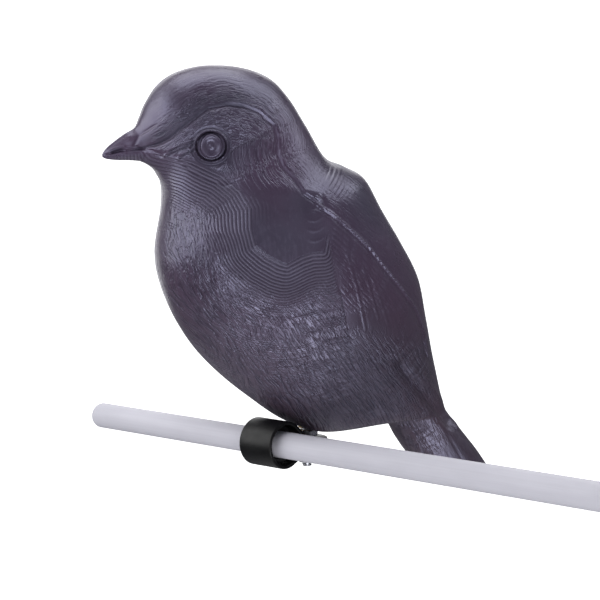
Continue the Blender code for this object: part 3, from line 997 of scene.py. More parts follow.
def spline(values: Array, places: Array) -> Array:
    """Read a smooth curve through evenly spaced values.

    Args:
        values: The curve's value at each station.
        places: Where it is read, counted in stations.

    Returns:
        The curve's value at each place.
    """
    last = len(values) - 1
    index = np.minimum(places.astype(int), last - 1)
    t = places - index
    before, start = values[np.maximum(index - 1, 0)], values[index]
    end, after = values[index + 1], values[np.minimum(index + 2, last)]
    square, cube = t * t, t * t * t
    leave, arrive = (end - before) / 2, (after - start) / 2
    rise = start * (2 * cube - 3 * square + 1) + leave * (cube - 2 * square + t)
    return rise + end * (3 * square - 2 * cube) + arrive * (cube - square)


class BodyForm:
    """The body's smooth surface, read between the stations."""

    def __init__(self) -> None:
        """Split the stations into columns of numbers."""
        self.back = np.array([row[0] for row in STATIONS])
        self.breast = np.array([row[1] for row in STATIONS])
        self.half_width = np.array([row[2] for row in STATIONS])
        self.widest = np.array([row[3] for row in STATIONS])
        self.fullness = np.array([row[4] for row in STATIONS])
        self.last = len(STATIONS) - 1

    def edge(self, line: Array, places: Array, inset: float, turn: float) -> Array:
        """Return the back or the breast line at some places.

        Args:
            line: The line's points, one for each station.
            places: Where it is read, counted in stations.
            inset: How far inside the outer skin it is.
            turn: The side that is inside, 1 for the back and -1 for the breast.

        Returns:
            Points (forward, up).
        """
        at = np.stack([spline(line[:, k], places) for k in (0, 1)], -1)
        if inset:
            ahead = np.clip(places - 0.05, 0, self.last)
            behind = np.clip(places + 0.05, 0, self.last)
            run = np.stack([spline(line[:, k], behind) - spline(line[:, k], ahead) for k in (0, 1)], -1)
            run /= np.linalg.norm(run, axis=1, keepdims=True)
            at = at + np.stack([-run[:, 1], run[:, 0]], -1) * inset * turn
        return at

    def grid(self, places: Array, columns: int, inset: float = 0.0) -> Array:
        """Return surface points on the bird's left side.

        Args:
            places: Where the rows stand, counted in stations.
            columns: How many columns there are from back to breast, evenly spaced on each row.
            inset: How far inside the outer skin the points are.

        Returns:
            Points in millimetres, one row for each place.
        """
        back = self.edge(self.back, places, inset, 1.0)
        breast = self.edge(self.breast, places, inset, -1.0)
        half_width = spline(self.half_width, places) - inset
        widest = spline(self.widest, places)
        power = 2.0 / spline(self.fullness, places)
        angles = np.linspace(0.0, math.pi, 400)
        reach = np.sign(np.cos(angles)) * np.abs(np.cos(angles)) ** power[:, None]
        side = np.maximum(np.sin(angles), 0.0) ** power[:, None] * half_width[:, None]
        upper = widest[:, None] * (1.0 - reach)
        lower = widest[:, None] - (1.0 - widest[:, None]) * reach
        along = np.where(reach > 0, upper, lower)
        middle = back[:, None] + (breast - back)[:, None] * along[..., None]
        fine = np.stack([middle[..., 0], side + SEAM_GAP, middle[..., 1]], -1)
        steps = np.linalg.norm(np.diff(fine, axis=1), axis=2)
        run = np.concatenate([np.zeros((len(places), 1)), np.cumsum(steps, axis=1)], axis=1)
        share = np.linspace(0.0, 1.0, columns + 1)
        rows = []
        for points, length in zip(fine, run):
            wanted = share * length[-1]
            rows.append(np.stack([np.interp(wanted, length, points[:, k]) for k in range(3)], -1))
        return np.array(rows)

    def even_places(self, rows: int) -> Array:
        """Space rows evenly along the body's longer side.

        Args:
            rows: How many spans there are from bill to tail.

        Returns:
            Where the rows stand, counted in stations.
        """
        places = np.linspace(0.0, self.last, 4000)
        back, breast = self.edge(self.back, places, 0.0, 1.0), self.edge(self.breast, places, 0.0, 1.0)
        widths = spline(self.half_width, places)
        runs = [np.linalg.norm(np.diff(line, axis=0), axis=1) for line in (back, breast)]
        steps = np.maximum(np.maximum(*runs), np.abs(np.diff(widths)))
        run = np.concatenate([[0.0], np.cumsum(steps)])
        return np.interp(np.linspace(0.0, run[-1], rows + 1), run, places)


class Side(Enum):
    """The two halves of the bird, by the sign of their place across the seam."""

    LEFT = 1
    RIGHT = -1


@dataclass
class Places:
    """Places on the bird's side, measured once against the lines that its marks follow."""

    forward: Array
    up: Array
    noises: list[Noise]

    def __post_init__(self) -> None:
        """Measure the places and read the noise at them."""
        forward, up = self.forward, self.up
        slow, quick, breaker, mottle = self.noises
        self.start = LAYER_START.gap(forward, up)
        self.wing, self.wing_run = WING.measure(forward, up)
        self.brow, self.brow_run = BROW.measure(forward, up)
        self.eye = np.hypot(forward - EYE_PLACE[0], up - EYE_PLACE[1])
        self.head = HEAD.gap(forward, up)
        self.fold = FOLD.gap(forward, up)
        # Behind the fold and above the wing's foot: positive inside.
        low = up - WING_FOOT
        outer = -np.hypot(np.minimum(self.fold, 0.0), np.minimum(low, 0.0))
        self.behind = np.where((self.fold > 0.0) & (low > 0.0), np.minimum(self.fold, low), outer)
        # Offsets of the plateau's outline, less steady further out.
        self.wave = slow.at(forward / 5.0, up / 5.0)
        wobble = slow.at(forward / 9.0, up / 9.0) * np.clip(self.start / 16.0, 0.05, 0.8)
        growth = np.clip((self.start - 8.0) / 18.0, 0.0, 0.35)
        self.wobble = wobble + quick.at(forward / 2.6, up / 2.6) * growth
        self.ripple = self.start + np.maximum(self.start, 0.0) ** 2 / 70.0 + self.wobble
        self.patch = mottle.at(forward / 13.0, up / 13.0)
        self.down = 0.4 * forward - 1.05 * up
        breaks = breaker.at(self.ripple / LAYER_PITCH, self.down / 6.0)
        self.broken = ease(-0.3, 0.35, breaks + 0.3 * self.patch)


@dataclass
class Marks:
    """One region's layers and strokes: what counts them in millimetres, and their strength."""

    layer_mm: Array
    stroke_across_mm: Array
    stroke_along_mm: Array
    layer_strength: Array
    stroke_strength: Array


@dataclass
class Sculpt:
    """The relief on the body: brow, bill, cheek, wing edge, feathers, plateau and terraces."""

    side: Side

    def __post_init__(self) -> None:
        """Set up the noise that breaks the strokes up, its own for each half."""
        seed = 11 if self.side is Side.LEFT else 23
        self.noises = [Noise(seed + i) for i in range(4)]

    def flatten_plateau(self, points: Array) -> Array:
        """Press the shoulder's widest part flat, as the last layer of the master is.

        Args:
            points: The grid of skin points.

        Returns:
            A new grid.
        """
        forward, side, up = points[..., 0], points[..., 1], points[..., 2]
        gap = PLATEAU.gap(forward, up)
        rim = (np.abs(gap) < 0.7) & (up < 92.0) & (side > 15.0)
        table = np.stack([np.ones(rim.sum()), forward[rim], up[rim]], -1)
        base, slope_x, slope_z = np.linalg.lstsq(table, side[rim], rcond=None)[0]
        flat = base + slope_x * forward + slope_z * up - 0.1
        share = (1.0 - ease(-0.3, 7.0, gap)) * (1.0 - ease(88.0, 97.0, up)) * (side > 10.0)
        result = points.copy()
        result[..., 1] = side * (1.0 - share) + np.minimum(flat, side + 0.6) * share
        return result

    def body_marks(self, at: Places) -> Marks:
        """Return the marks of the breast, flank and belly, where strokes take over from layers.

        Args:
            at: The measured places.

        Returns:
            The region's marks.
        """
        far = ease(8.0, 19.0, at.start)
        layers = ((1.0 - far) + far * at.broken * 0.4) * ease(-0.5, 0.3, at.start)
        hint = 0.35 * ease(-10.0, -1.0, at.start) * ease(78.0, 86.0, at.up) * ease(14.0, 20.0, at.forward)
        layers = np.maximum(layers, hint * at.broken) * (1.0 - 0.6 * ease(34.0, 14.0, at.up))
        layers = layers * (1.0 - 0.5 * ease(45.0, 60.0, at.forward) * ease(86.0, 98.0, at.up))
        strokes = (0.12 + 0.88 * far) * ease(-1.5, 1.0, at.start)
        rump = np.where(at.fold > 0.0, ease(WING_FOOT, WING_FOOT - 20.0, at.up), 1.0)
        steep = 0.8 * ease(62.0, 36.0, at.up)
        breast = BREAST.gap(at.forward, at.up)
        slant = breast * (1.0 - steep) + (0.5 * at.up - 0.87 * at.forward + 27.0) * steep + 0.5 * at.wave
        return Marks(at.ripple, slant, at.down, layers * rump, strokes * rump)

    def wing_marks(self, at: Places) -> Marks:
        """Return the marks behind the fold, which run with the wing's edge; the back is nearly smooth.

        Args:
            at: The measured places.

        Returns:
            The region's marks.
        """
        clear = ease(0.2, 1.4, np.abs(at.wing))
        back = ease(6.0, 2.0, at.forward)
        layers = np.where(at.wing > 0.0, 0.06, 0.16) * at.broken * clear * back
        strokes = np.where(at.wing > 0.0, 0.3, 0.16) * clear * back
        return Marks(np.abs(at.wing) * 0.9 + at.wobble, at.wing, at.wing_run, layers, strokes)

    def head_marks(self, at: Places) -> Marks:
        """Return the marks of the head, which follow the brow and ring the eye.

        Args:
            at: The measured places.

        Returns:
            The region's marks.
        """
        ring = ease(13.0, 8.0, at.eye)
        face = np.abs(at.brow) * (1.0 - ring) + at.eye * ring + 0.9 * at.wave
        crown = at.brow > 0.0
        clear = ease(6.3, 7.5, at.eye) * ease(60.0, 55.0, at.forward)
        clear = clear * np.maximum(ease(87.0, 98.0, at.up), ease(34.0, 40.0, at.forward))
        layers = np.where(crown, 0.08, 0.22) * at.broken * clear
        strokes = np.where(crown, 0.2 + 0.45 * ease(9.0, 3.0, at.brow), 0.75) * clear
        return Marks(face, at.brow, at.brow_run, layers, strokes * ease(0.4, 1.3, np.abs(at.brow)))

    def wear_and_highlight(self, at: Places) -> Array:
        """Return the painted highlight on the flank, along the wing's edge and over the eye.

        Args:
            at: The measured places.

        Returns:
            The painted highlight's strength, about 0 to 1.
        """
        edge = ease(6.0, 3.0, at.forward) * ease(20.0, 34.0, at.up)
        over_eye = ease(8.0, 26.0, at.forward) * ease(56.0, 46.0, at.forward)
        flank = hump(FLANK_HIGHLIGHT.gap(at.forward, at.up), 9.0)
        wear_and_highlight = flank * (0.6 + 0.6 * at.patch) + 1.1 * edge * hump(at.wing, 0.4)
        return wear_and_highlight + over_eye * hump(at.brow - 0.7, 0.32)

    def painted_shade(self, at: Places) -> Array:
        """Return the painted shade: under the brow, on the bill, round the eye, on the plateau, tail and
        belly.

        Args:
            at: The measured places.

        Returns:
            The painted shade's strength, from 0 to 0.9.
        """
        bill = ease(66.0, 62.0, at.forward) * ease(22.0, 30.0, at.forward)
        nostril = NOSTRIL.gap(at.forward, at.up)
        painted_shade = 0.62 * bill * hump(at.brow - 1.8, 2.5) * (0.8 + 0.4 * at.wave) + 0.75 * hump(nostril, 0.8)
        painted_shade = painted_shade + 0.6 * bill * hump(at.brow + 0.2, 0.6) + 0.5 * hump(at.eye - 6.2, 0.5)
        painted_shade = painted_shade + 0.28 * ease(2.0, -3.0, at.start) * ease(96.0, 88.0, at.up)
        painted_shade = painted_shade + 0.45 * ease(-44.0, -54.0, at.forward)
        painted_shade = painted_shade + 0.3 * ease(40.0, 10.0, at.up) * ease(-42.0, -22.0, at.forward)
        for trail in LORES:
            painted_shade = painted_shade + 0.5 * hump(trail.gap(at.forward, at.up), 0.45)
        return np.clip(painted_shade, 0.0, 0.9)

    def layers(self, forward: Array, up: Array) -> dict[str, Array]:
        """Return the layered master's terraces, the tool strokes over them, painted highlights and painted
        shade.

        Args:
            forward: How far forward each place is.
            up: How far up each place is.

        Returns:
            By attribute name: the distance that counts the layers and the distances across and
            along the strokes in millimetres, and the strength of each, the painted highlight and
            the painted shade from 0 to 1.
        """
        at = Places(forward, up, self.noises)
        head, wing, body = (vars(part(at)) for part in (self.head_marks, self.wing_marks, self.body_marks))
        on_head, on_wing = at.head < 0.0, at.behind > 0.0
        kept = {}
        for name in head:
            kept[name] = np.where(on_head, head[name], np.where(on_wing, wing[name], body[name]))
        # Each region's marks fade out before the next begins, and towards the tail.
        fade = ease(0.0, 1.1, np.abs(at.head)) * np.where(on_head, 1.0, ease(0.0, 1.3, np.abs(at.behind)))
        fade = fade * (1.0 - 0.8 * ease(-38.0, -50.0, forward))
        for name in ("layer_strength", "stroke_strength"):
            kept[name] = np.clip(kept[name] * fade, 0.0, 1.0)
        return kept | {"wear_and_highlight": self.wear_and_highlight(at), "painted_shade": self.painted_shade(at)}

    def face_relief(self, forward: Array, up: Array) -> Array:
        """Return the height of the brow, the cheek and the fine lines before the eye.

        Args:
            forward: How far forward each place is.
            up: How far up each place is.

        Returns:
            The height in millimetres.
        """
        brow = BROW.gap(forward, up)
        front = ease(27.0, 41.0, forward)
        hollow = np.where(brow > 0, 1.0 - ease(0.0, 10.0, brow), np.exp(np.minimum(brow, 0.0) / 2.0))
        height = -front * (1.3 * hollow + 0.6 * hump(brow + 0.35, 0.6)) * ease(66.0, 59.0, forward)
        rear = (1.0 - front) * (up > 84.0)
        height += rear * (-0.4 * hump(brow + 0.2, 0.55) + 0.22 * hump(brow - 0.9, 0.7))
        height += rear * -0.5 * np.where(brow < 0, np.exp(np.minimum(brow, 0.0) / 4.0), hump(brow, 1.0))
        for trail in LORES:
            gap = trail.gap(forward, up)
            height += -0.4 * hump(gap, 0.36) + 0.16 * hump(gap - 0.75, 0.35)
        cheek = CHEEK.gap(forward, up)
        return height - 0.3 * hump(cheek, 0.55) + 0.2 * hump(cheek - 1.2, 0.9)

    def bill_relief(self, forward: Array, up: Array) -> Array:
        """Return the height of the gape, the nostril and the feather edge at the bill's base.

        Args:
            forward: How far forward each place is.
            up: How far up each place is.

        Returns:
            The height in millimetres.
        """
        bill = ease(55.0, 60.0, forward)
        gape = GAPE.gap(forward, up)
        height = -0.45 * hump(gape, 0.5) + 0.18 * hump(gape - 1.0, 0.7) * bill
        nostril = NOSTRIL.gap(forward, up)
        height += -0.8 * hump(nostril, 0.6) + 0.2 * hump(nostril - 1.1, 0.5)
        base = BILL_BASE.gap(forward, up)
        return height - 0.5 * ease(0.5, -0.5, base) * ease(54.0, 58.0, forward) - 0.4 * hump(base, 0.5) * bill

    def eye_relief(self, forward: Array, up: Array) -> Array:
        """Return the height of the eye's socket, its lid ring and the groove outside it.

        Args:
            forward: How far forward each place is.
            up: How far up each place is.

        Returns:
            The height in millimetres.
        """
        eye = np.hypot((forward - EYE_PLACE[0]) / LID_WIDE, (up - EYE_PLACE[1]) / LID_TALL)
        height = -EYE_SOCKET_DEPTH * ease(1.06, 0.97, eye)
        height += 0.34 * hump(eye - 1.13, 0.06) - 0.32 * hump(eye - 1.28, 0.08)
        return height - 0.5 * hump(eye - 1.45, 0.6) * (eye > 1.1)

    def wing_relief(self, forward: Array, up: Array) -> Array:
        """Return the height of the wing's thin raised edge, the long feathers and the shoulder.

        Args:
            forward: How far forward each place is.
            up: How far up each place is.

        Returns:
            The height in millimetres.
        """
        wing = WING.gap(forward, up)
        wing_here = ease(6.0, 3.0, forward) * ease(20.0, 34.0, up)
        height = wing_here * (0.45 * hump(wing, 0.5) - 0.32 * hump(wing + 1.2, 0.8))
        height += wing_here * -0.4 * np.where(wing > 0, np.exp(-np.maximum(wing, 0.0) / 5.0), 0.0)
        for trail in FEATHERS:
            gap, run = trail.measure(forward, up)
            height += (0.16 * hump(gap, 0.4) - 0.1 * hump(gap - 0.9, 0.5)) * ease(0.0, 4.0, run)
        # Short hooked steps where the plateau meets the fold.
        hooks = ease(0.5, 2.0, forward) * ease(9.0, 6.0, forward)
        hooks = hooks * ease(70.0, 72.0, up) * ease(88.0, 85.0, up)
        height += 0.2 * hooks * hump(np.sin((up - 0.12 * (forward - 5.5) ** 2) / 3.5 * math.pi), 0.3)
        # Ruffled feathers over the shoulder.
        ruffle = hump(np.hypot(forward - RUFFLE[0], up - RUFFLE[1]), 4.6)
        return height + 0.24 * ruffle * np.cos((forward + up) * 0.707 / 1.5 * math.tau)

    def tail_relief(self, forward: Array, up: Array) -> Array:
        """Return the height of the crease before the tail and its shallow feather channels.

        Args:
            forward: How far forward each place is.
            up: How far up each place is.

        Returns:
            The height in millimetres.
        """
        crease = FLANK_CREASE.gap(forward, up)
        height = -1.3 * hump(crease, 2.2) + 0.5 * hump(crease - 3.4, 1.8)
        tail = ease(-46.0, -53.0, forward) * ease(12.0, 4.0, up)
        across = (forward + 56.0) * 0.86 + (up + 3.0) * -0.5
        return height - 0.16 * tail * (0.5 + 0.5 * np.cos(across * math.tau / 3.6)) ** 3

    def terrace_relief(self, forward: Array, up: Array) -> Array:
        """Return the height of the terraces, as far as the mesh can hold them.

        Args:
            forward: How far forward each place is.
            up: How far up each place is.

        Returns:
            The height in millimetres.
        """
        kept = self.layers(forward, up)
        phase = kept["layer_mm"] / LAYER_PITCH * math.tau
        return 0.05 * kept["layer_strength"] * (np.sin(phase) + 0.3 * np.sin(2 * phase + 0.6))

    def relief(self, forward: Array, up: Array) -> Array:
        """Return how far the sculpted skin stands out of the smooth form, in millimetres."""
        parts = (self.face_relief, self.bill_relief, self.eye_relief, self.wing_relief, self.tail_relief)
        return sum(part(forward, up) for part in (*parts, self.terrace_relief))

    def carve(self, points: Array) -> Array:
        """Press the plateau flat and raise the relief along the skin's normals.

        Args:
            points: The grid of smooth skin points.

        Returns:
            A new grid.
        """
        shaped = self.flatten_plateau(points)
        along = np.gradient(shaped, axis=0)
        across = np.gradient(shaped, axis=1)
        normals = np.cross(along, across)
        normals /= np.maximum(np.linalg.norm(normals, axis=2, keepdims=True), 1e-9)
        outwards = np.sign(np.sum(normals[:, points.shape[1] // 2, 1]))
        height = self.relief(shaped[..., 0], shaped[..., 2])
        # Side features fade where the skin turns towards the seam and at the two ends.
        facing = np.abs(normals[..., 1])
        height = height * (0.25 + 0.75 * ease(0.05, 0.45, facing))
        rows = np.arange(len(points))[:, None]
        ends = ease(0.0, 4.0, rows) * ease(len(points) - 1.0, len(points) - 4.0, rows)
        result = shaped + normals * (outwards * height * ends)[..., None]
        result[..., 1] = np.maximum(result[..., 1], SEAM_GAP)
        result[..., 2] = np.minimum(result[..., 2], CROWN_TOP)
        result[:, (0, -1), 1] = SEAM_GAP
        return result


@dataclass
class BodyShell:
    """One cast half of the bird, with its bosses, insert pocket and pin holes."""

    side: Side
    rows: int = 640
    columns: int = 260
    coarse_grid: tuple[int, int] = (160, 70)
    inner_columns: int = 40
    wall: float = 2.4
    first_hollow: float = 5.0
    last_hollow: float = 24.0
    pin_places: tuple[Point2, ...] = ((30.0, 127.8), (48.4, 71.0), (-36.9, 46.0))
    pin_hole_radius: float = 1.8
    pin_hole_depth: float = 5.3
    pin_boss_radius: float = 4.2
    pin_boss_depth: float = 7.4
    belly_boss_radius: float = 7.5
    belly_boss_span: Point2 = (5.2, 16.0)
    spot_face_radius: float = 6.0
    spot_face_height: float = 3.15
    pocket_radius: float = 3.5
    pocket_top: float = 13.0
    setback: float = 0.35
    overrun: float = 2.0
    crisp_degrees: float = 62.0

    def skin(self) -> tuple[Array, list[Face]]:
        """Return the closed half shell as points and faces: outer skin, inner skin and seam."""
        form = BodyForm()
        rows, columns = ((self.rows, self.columns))
        places = form.even_places(rows)
        outer = Sculpt(self.side).carve(form.grid(places, columns))
        hollow = np.flatnonzero((places >= self.first_hollow) & (places <= self.last_hollow))
        inner = form.grid(places[hollow], self.inner_columns, self.wall)
        inner[..., 1] = np.maximum(inner[..., 1], SEAM_GAP)
        inner[:, (0, -1), 1] = SEAM_GAP
        wide, thin = columns + 1, self.inner_columns + 1
        start = outer.shape[0] * wide
        first, last = int(hollow[0]), int(hollow[-1])

        def out(row: int, column: int) -> int:
            """Return the number of an outer point."""
            return row * wide + column % wide

        def inn(row: int, column: int) -> int:
            """Return the number of an inner point, by its outer row."""
            return start + (row - first) * thin + column % thin

        faces = []
        for i in range(rows):
            for j in range(columns):
                faces.append((out(i, j), out(i, j + 1), out(i + 1, j + 1), out(i + 1, j)))
        for i in range(first, last):
            for j in range(self.inner_columns):
                faces.append((inn(i, j), inn(i + 1, j), inn(i + 1, j + 1), inn(i, j + 1)))
            faces.append((out(i, 0), out(i + 1, 0), inn(i + 1, 0), inn(i, 0)))
            faces.append((out(i, -1), inn(i, -1), inn(i + 1, -1), out(i + 1, -1)))
        for i in list(range(first - 1)) + list(range(last + 1, rows)):
            faces.append((out(i, 0), out(i + 1, 0), out(i + 1, -1), out(i, -1)))
        before = [out(first - 1, 0), out(first, 0), inn(first, 0), inn(first, -1), out(first, -1)]
        beyond = [out(last, 0), out(last + 1, 0), out(last + 1, -1), out(last, -1), inn(last, -1)]
        faces.append((*before, out(first - 1, -1)))
        faces.append((*beyond, inn(last, 0)))
        faces += [tuple(out(row, j) for j in range(wide)) for row in (0, rows)]
        faces += [tuple(inn(row, j) for j in range(thin)) for row in (first, last)]
        points = np.concatenate([outer.reshape(-1, 3), inner.reshape(-1, 3)])
        points[:, 1] *= self.side.value
        return points, faces

    def across(self, centre: Point2, radius: float, start: float, end: float) -> Solid:
        """Make a cylinder across the seam.

        Args:
            centre: Its place (forward, up).
            radius: Its radius.
            start: Its near end's depth into this half.
            end: Its far end's depth.

        Returns:
            The points and the faces.
        """
        sign = self.side.value
        low, high = sorted((start * sign, end * sign))
        points, faces = turned([(0.0, low), (radius, low), (radius, high), (0.0, high)], 40)
        place = Matrix.Translation((centre[0], 0.0, centre[1])) @ Matrix.Rotation(math.radians(-90.0), 4, "X")
        return moved(points, place), faces

    def half_boss(self) -> Solid:
        """Return this half's share of the boss that holds the threaded insert."""
        steps = 28
        lean = math.asin(self.setback / self.belly_boss_radius)
        angles = [lean + (math.pi - 2 * lean) * i / steps for i in range(steps + 1)]
        low, high = self.belly_boss_span
        points = []
        for level in (low, high):
            for angle in angles:
                side = self.side.value * self.belly_boss_radius * math.sin(angle)
                points.append((self.belly_boss_radius * math.cos(angle), side, level))
        count = steps + 1
        return points, band(0, count, count) + [tuple(range(count)), tuple(range(count, 2 * count))]

    def build(self) -> bpy.types.Object:
        """Make the half shell, cut its fixings and write what its finish reads."""
        name = f"cast_half_{self.side.name.lower()}"
        points, faces = self.skin()
        shell = mesh_object(name, points, faces, self.crisp_degrees)
        bosses = [self.half_boss()]
        cuts = []
        for centre in self.pin_places:
            bosses.append(self.across(centre, self.pin_boss_radius, self.setback, self.pin_boss_depth))
            cuts.append(self.across(centre, self.pin_hole_radius, -self.overrun, self.pin_hole_depth))
        low = self.spot_face_height - 4.0 * self.overrun
        steps = [(0.0, low), (self.spot_face_radius, low), (self.spot_face_radius, self.spot_face_height)]
        steps += [(self.pocket_radius, self.spot_face_height), (self.pocket_radius, self.pocket_top)]
        cuts.append(turned(steps + [(0.0, self.pocket_top)], 64))
        for solid in bosses:
            cut_and_join(shell, mesh_object("helper", *solid), "UNION")
        for solid in cuts:
            cut_and_join(shell, mesh_object("helper", *solid), "DIFFERENCE")
        shell.data.shade_smooth()
        shell.data.set_sharp_from_angle(angle=math.radians(self.crisp_degrees))
        self.write_layers(shell)
        return settle(shell, STUD_PLACE, BIRD_HEADING)

    def write_layers(self, shell: bpy.types.Object) -> None:
        """Store the marks, the painted highlight and the painted shade on the points for the finish to read.

        Args:
            shell: The half shell, before it is carried to its place.
        """
        count = len(shell.data.vertices)
        flat = np.empty(count * 3)
        shell.data.vertices.foreach_get("co", flat)
        points = flat.reshape(-1, 3) / MM
        normals = np.empty(count * 3)
        shell.data.vertices.foreach_get("normal", normals)
        # The marks are shallower where the two halves meet.
        depth = 0.3 + 0.7 * ease(0.05, 0.4, np.abs(normals.reshape(-1, 3)[:, 1]))
        kept = Sculpt(self.side).layers(points[:, 0], points[:, 2])
        kept["layer_strength"] *= depth
        kept["stroke_strength"] *= depth
        for name, values in kept.items():
            attribute = shell.data.attributes.new(name, "FLOAT", "POINT")
            attribute.data.foreach_set("value", values.astype(np.float32))

    def dress(self, shell: bpy.types.Object) -> None:
        """Give the shell its finish and its place in the table."""
        node = f"body_shell_{self.side.name.lower()}"
        finish_piece(shell, "bird", (node,), CastResin())


@dataclass
class EyeBead:
    """A low bead: a flange in the socket, a raised oval rim and a dished middle."""

    side: Side
    flange_radius: float = 4.8
    flange_shape: Point2 = (1.0, 0.96)
    rim_radius: float = 4.0
    rim_shape: Point2 = (0.92, 1.02)
    groove_floor: float = -1.3
    rim_rise: float = 0.8
    middle_rise: float = 0.75

    def profile(self) -> list[Point2]:
        """Return the bead's outline from its base round to its middle, as (radius, rise)."""
        base = -EYE_SOCKET_DEPTH + GAP / 2
        rim, rise, middle = self.rim_radius, self.rim_rise, self.middle_rise
        points = [(0.0, base), (self.flange_radius - 0.1, base), (self.flange_radius, base + 0.08)]
        points += [(self.flange_radius - 0.05, self.groove_floor), (rim + 0.32, self.groove_floor)]
        points += [(rim + 0.1, self.groove_floor + 0.3), (rim + 0.02, rise - 0.75), (rim - 0.08, rise - 0.35)]
        points += [(rim - 0.3, rise - 0.1), (rim - 0.62, rise)]
        points += [(rim - 1.0, rise - 0.12), (rim - 1.4, rise - 0.34), (rim - 1.8, rise - 0.54)]
        points += [(rim - 2.3, rise - 0.68), (1.2, middle - 0.62), (0.85, middle - 0.5)]
        return points + [(0.55, middle - 0.32), (0.3, middle - 0.22), (0.0, middle - 0.18)]

    def oval(self, points: list[Point3]) -> list[Point3]:
        """Press the turned bead into the oval of its rim, and of the flange outside it.

        Args:
            points: The turned points.

        Returns:
            The pressed points.
        """
        pressed = []
        for x, y, z in points:
            share = float(ease(self.rim_radius, self.flange_radius, np.array(math.hypot(x, y))))
            wide = self.rim_shape[0] + (self.flange_shape[0] - self.rim_shape[0]) * share
            tall = self.rim_shape[1] + (self.flange_shape[1] - self.rim_shape[1]) * share
            pressed.append((x * wide, y * tall, z))
        return pressed

    def build(self) -> bpy.types.Object:
        """Make the bead and set it square to the side of the head."""
        place = self.on_head()
        points, faces = turned(self.profile(), 96)
        bead = mesh_object(f"eye_bead_{self.side.name.lower()}", moved(self.oval(points), place), faces, 65.0)
        return settle(bead, STUD_PLACE, BIRD_HEADING)

    def on_head(self) -> Matrix:
        """Return the matrix, in millimetres, that sets the bead's axis on the skin."""
        form = BodyForm()
        grid = form.grid(np.linspace(6.0, 12.0, 1201), 400)
        gap = np.hypot(grid[..., 0] - EYE_PLACE[0], grid[..., 2] - EYE_PLACE[1])
        row, column = np.unravel_index(np.argmin(gap), gap.shape)
        along = grid[row + 20, column] - grid[row - 20, column]
        across = grid[row, column + 4] - grid[row, column - 4]
        normal = np.cross(along, across)
        normal *= math.copysign(1.0, normal[1]) / np.linalg.norm(normal)
        point, out = Vector(grid[row, column]), Vector(normal)
        point.y *= self.side.value
        out.y *= self.side.value
        ahead = (Vector((1.0, 0.0, 0.0)) - out * out.x).normalized()
        axes = Matrix((ahead, out.cross(ahead), out)).transposed()
        return Matrix.Translation(point) @ axes.to_4x4()

    def dress(self, bead: bpy.types.Object) -> None:
        """Give the bead its finish and its place in the table."""
        node = f"eye_{self.side.name.lower()}"
        finish_piece(bead, "bird", (node,), EyeResin())


# ---------------------------------------------------------------- fixings


@dataclass
class Stud:
    """An M4 stud with a rolled helical thread and rounded ends."""

    radius: float = 1.85
    thread_depth: float = 0.36
    pitch: float = 0.7
    low: float = -10.7
    high: float = 11.0
    sides: int = 40
    steps_per_turn: int = 8

    def build(self) -> bpy.types.Object:
        """Make the stud as one closed skin whose radius follows the thread."""
        levels = int((self.high - self.low) / self.pitch * self.steps_per_turn)
        points, rows = [(0.0, 0.0, self.low)], []
        for k in range(levels + 1):
            height = self.low + (self.high - self.low) * k / levels
            taper = min(height - self.low, self.high - height)
            limit = self.radius - 0.6 + min(taper, 0.6)
            rows.append(len(points))
            for i in range(self.sides):
                turn = math.tau * i / self.sides
                share = (height / self.pitch - i / self.sides) % 1.0
                crest = min(1.0, max(0.0, abs(share * 2.0 - 1.0) * 1.5 - 0.25))
                reach = min(limit, self.radius - self.thread_depth * (1.0 - crest))
                points.append((reach * math.cos(turn), reach * math.sin(turn), height))
        points.append((0.0, 0.0, self.high))
        faces = []
        for low, high in zip(rows, rows[1:]):
            faces += band(low, high, self.sides)
        for i in range(self.sides):
            after = (i + 1) % self.sides
            faces.append((0, rows[0] + after, rows[0] + i))
            faces.append((len(points) - 1, rows[-1] + i, rows[-1] + after))
        stud = mesh_object("threaded_stud", points, faces, 75.0)
        return settle(stud, STUD_PLACE, BIRD_HEADING)

    def dress(self, stud: bpy.types.Object) -> None:
        """Give the stud its finish and its place in the table."""
        finish_piece(stud, "bird", ("stud",), ZincPlate())


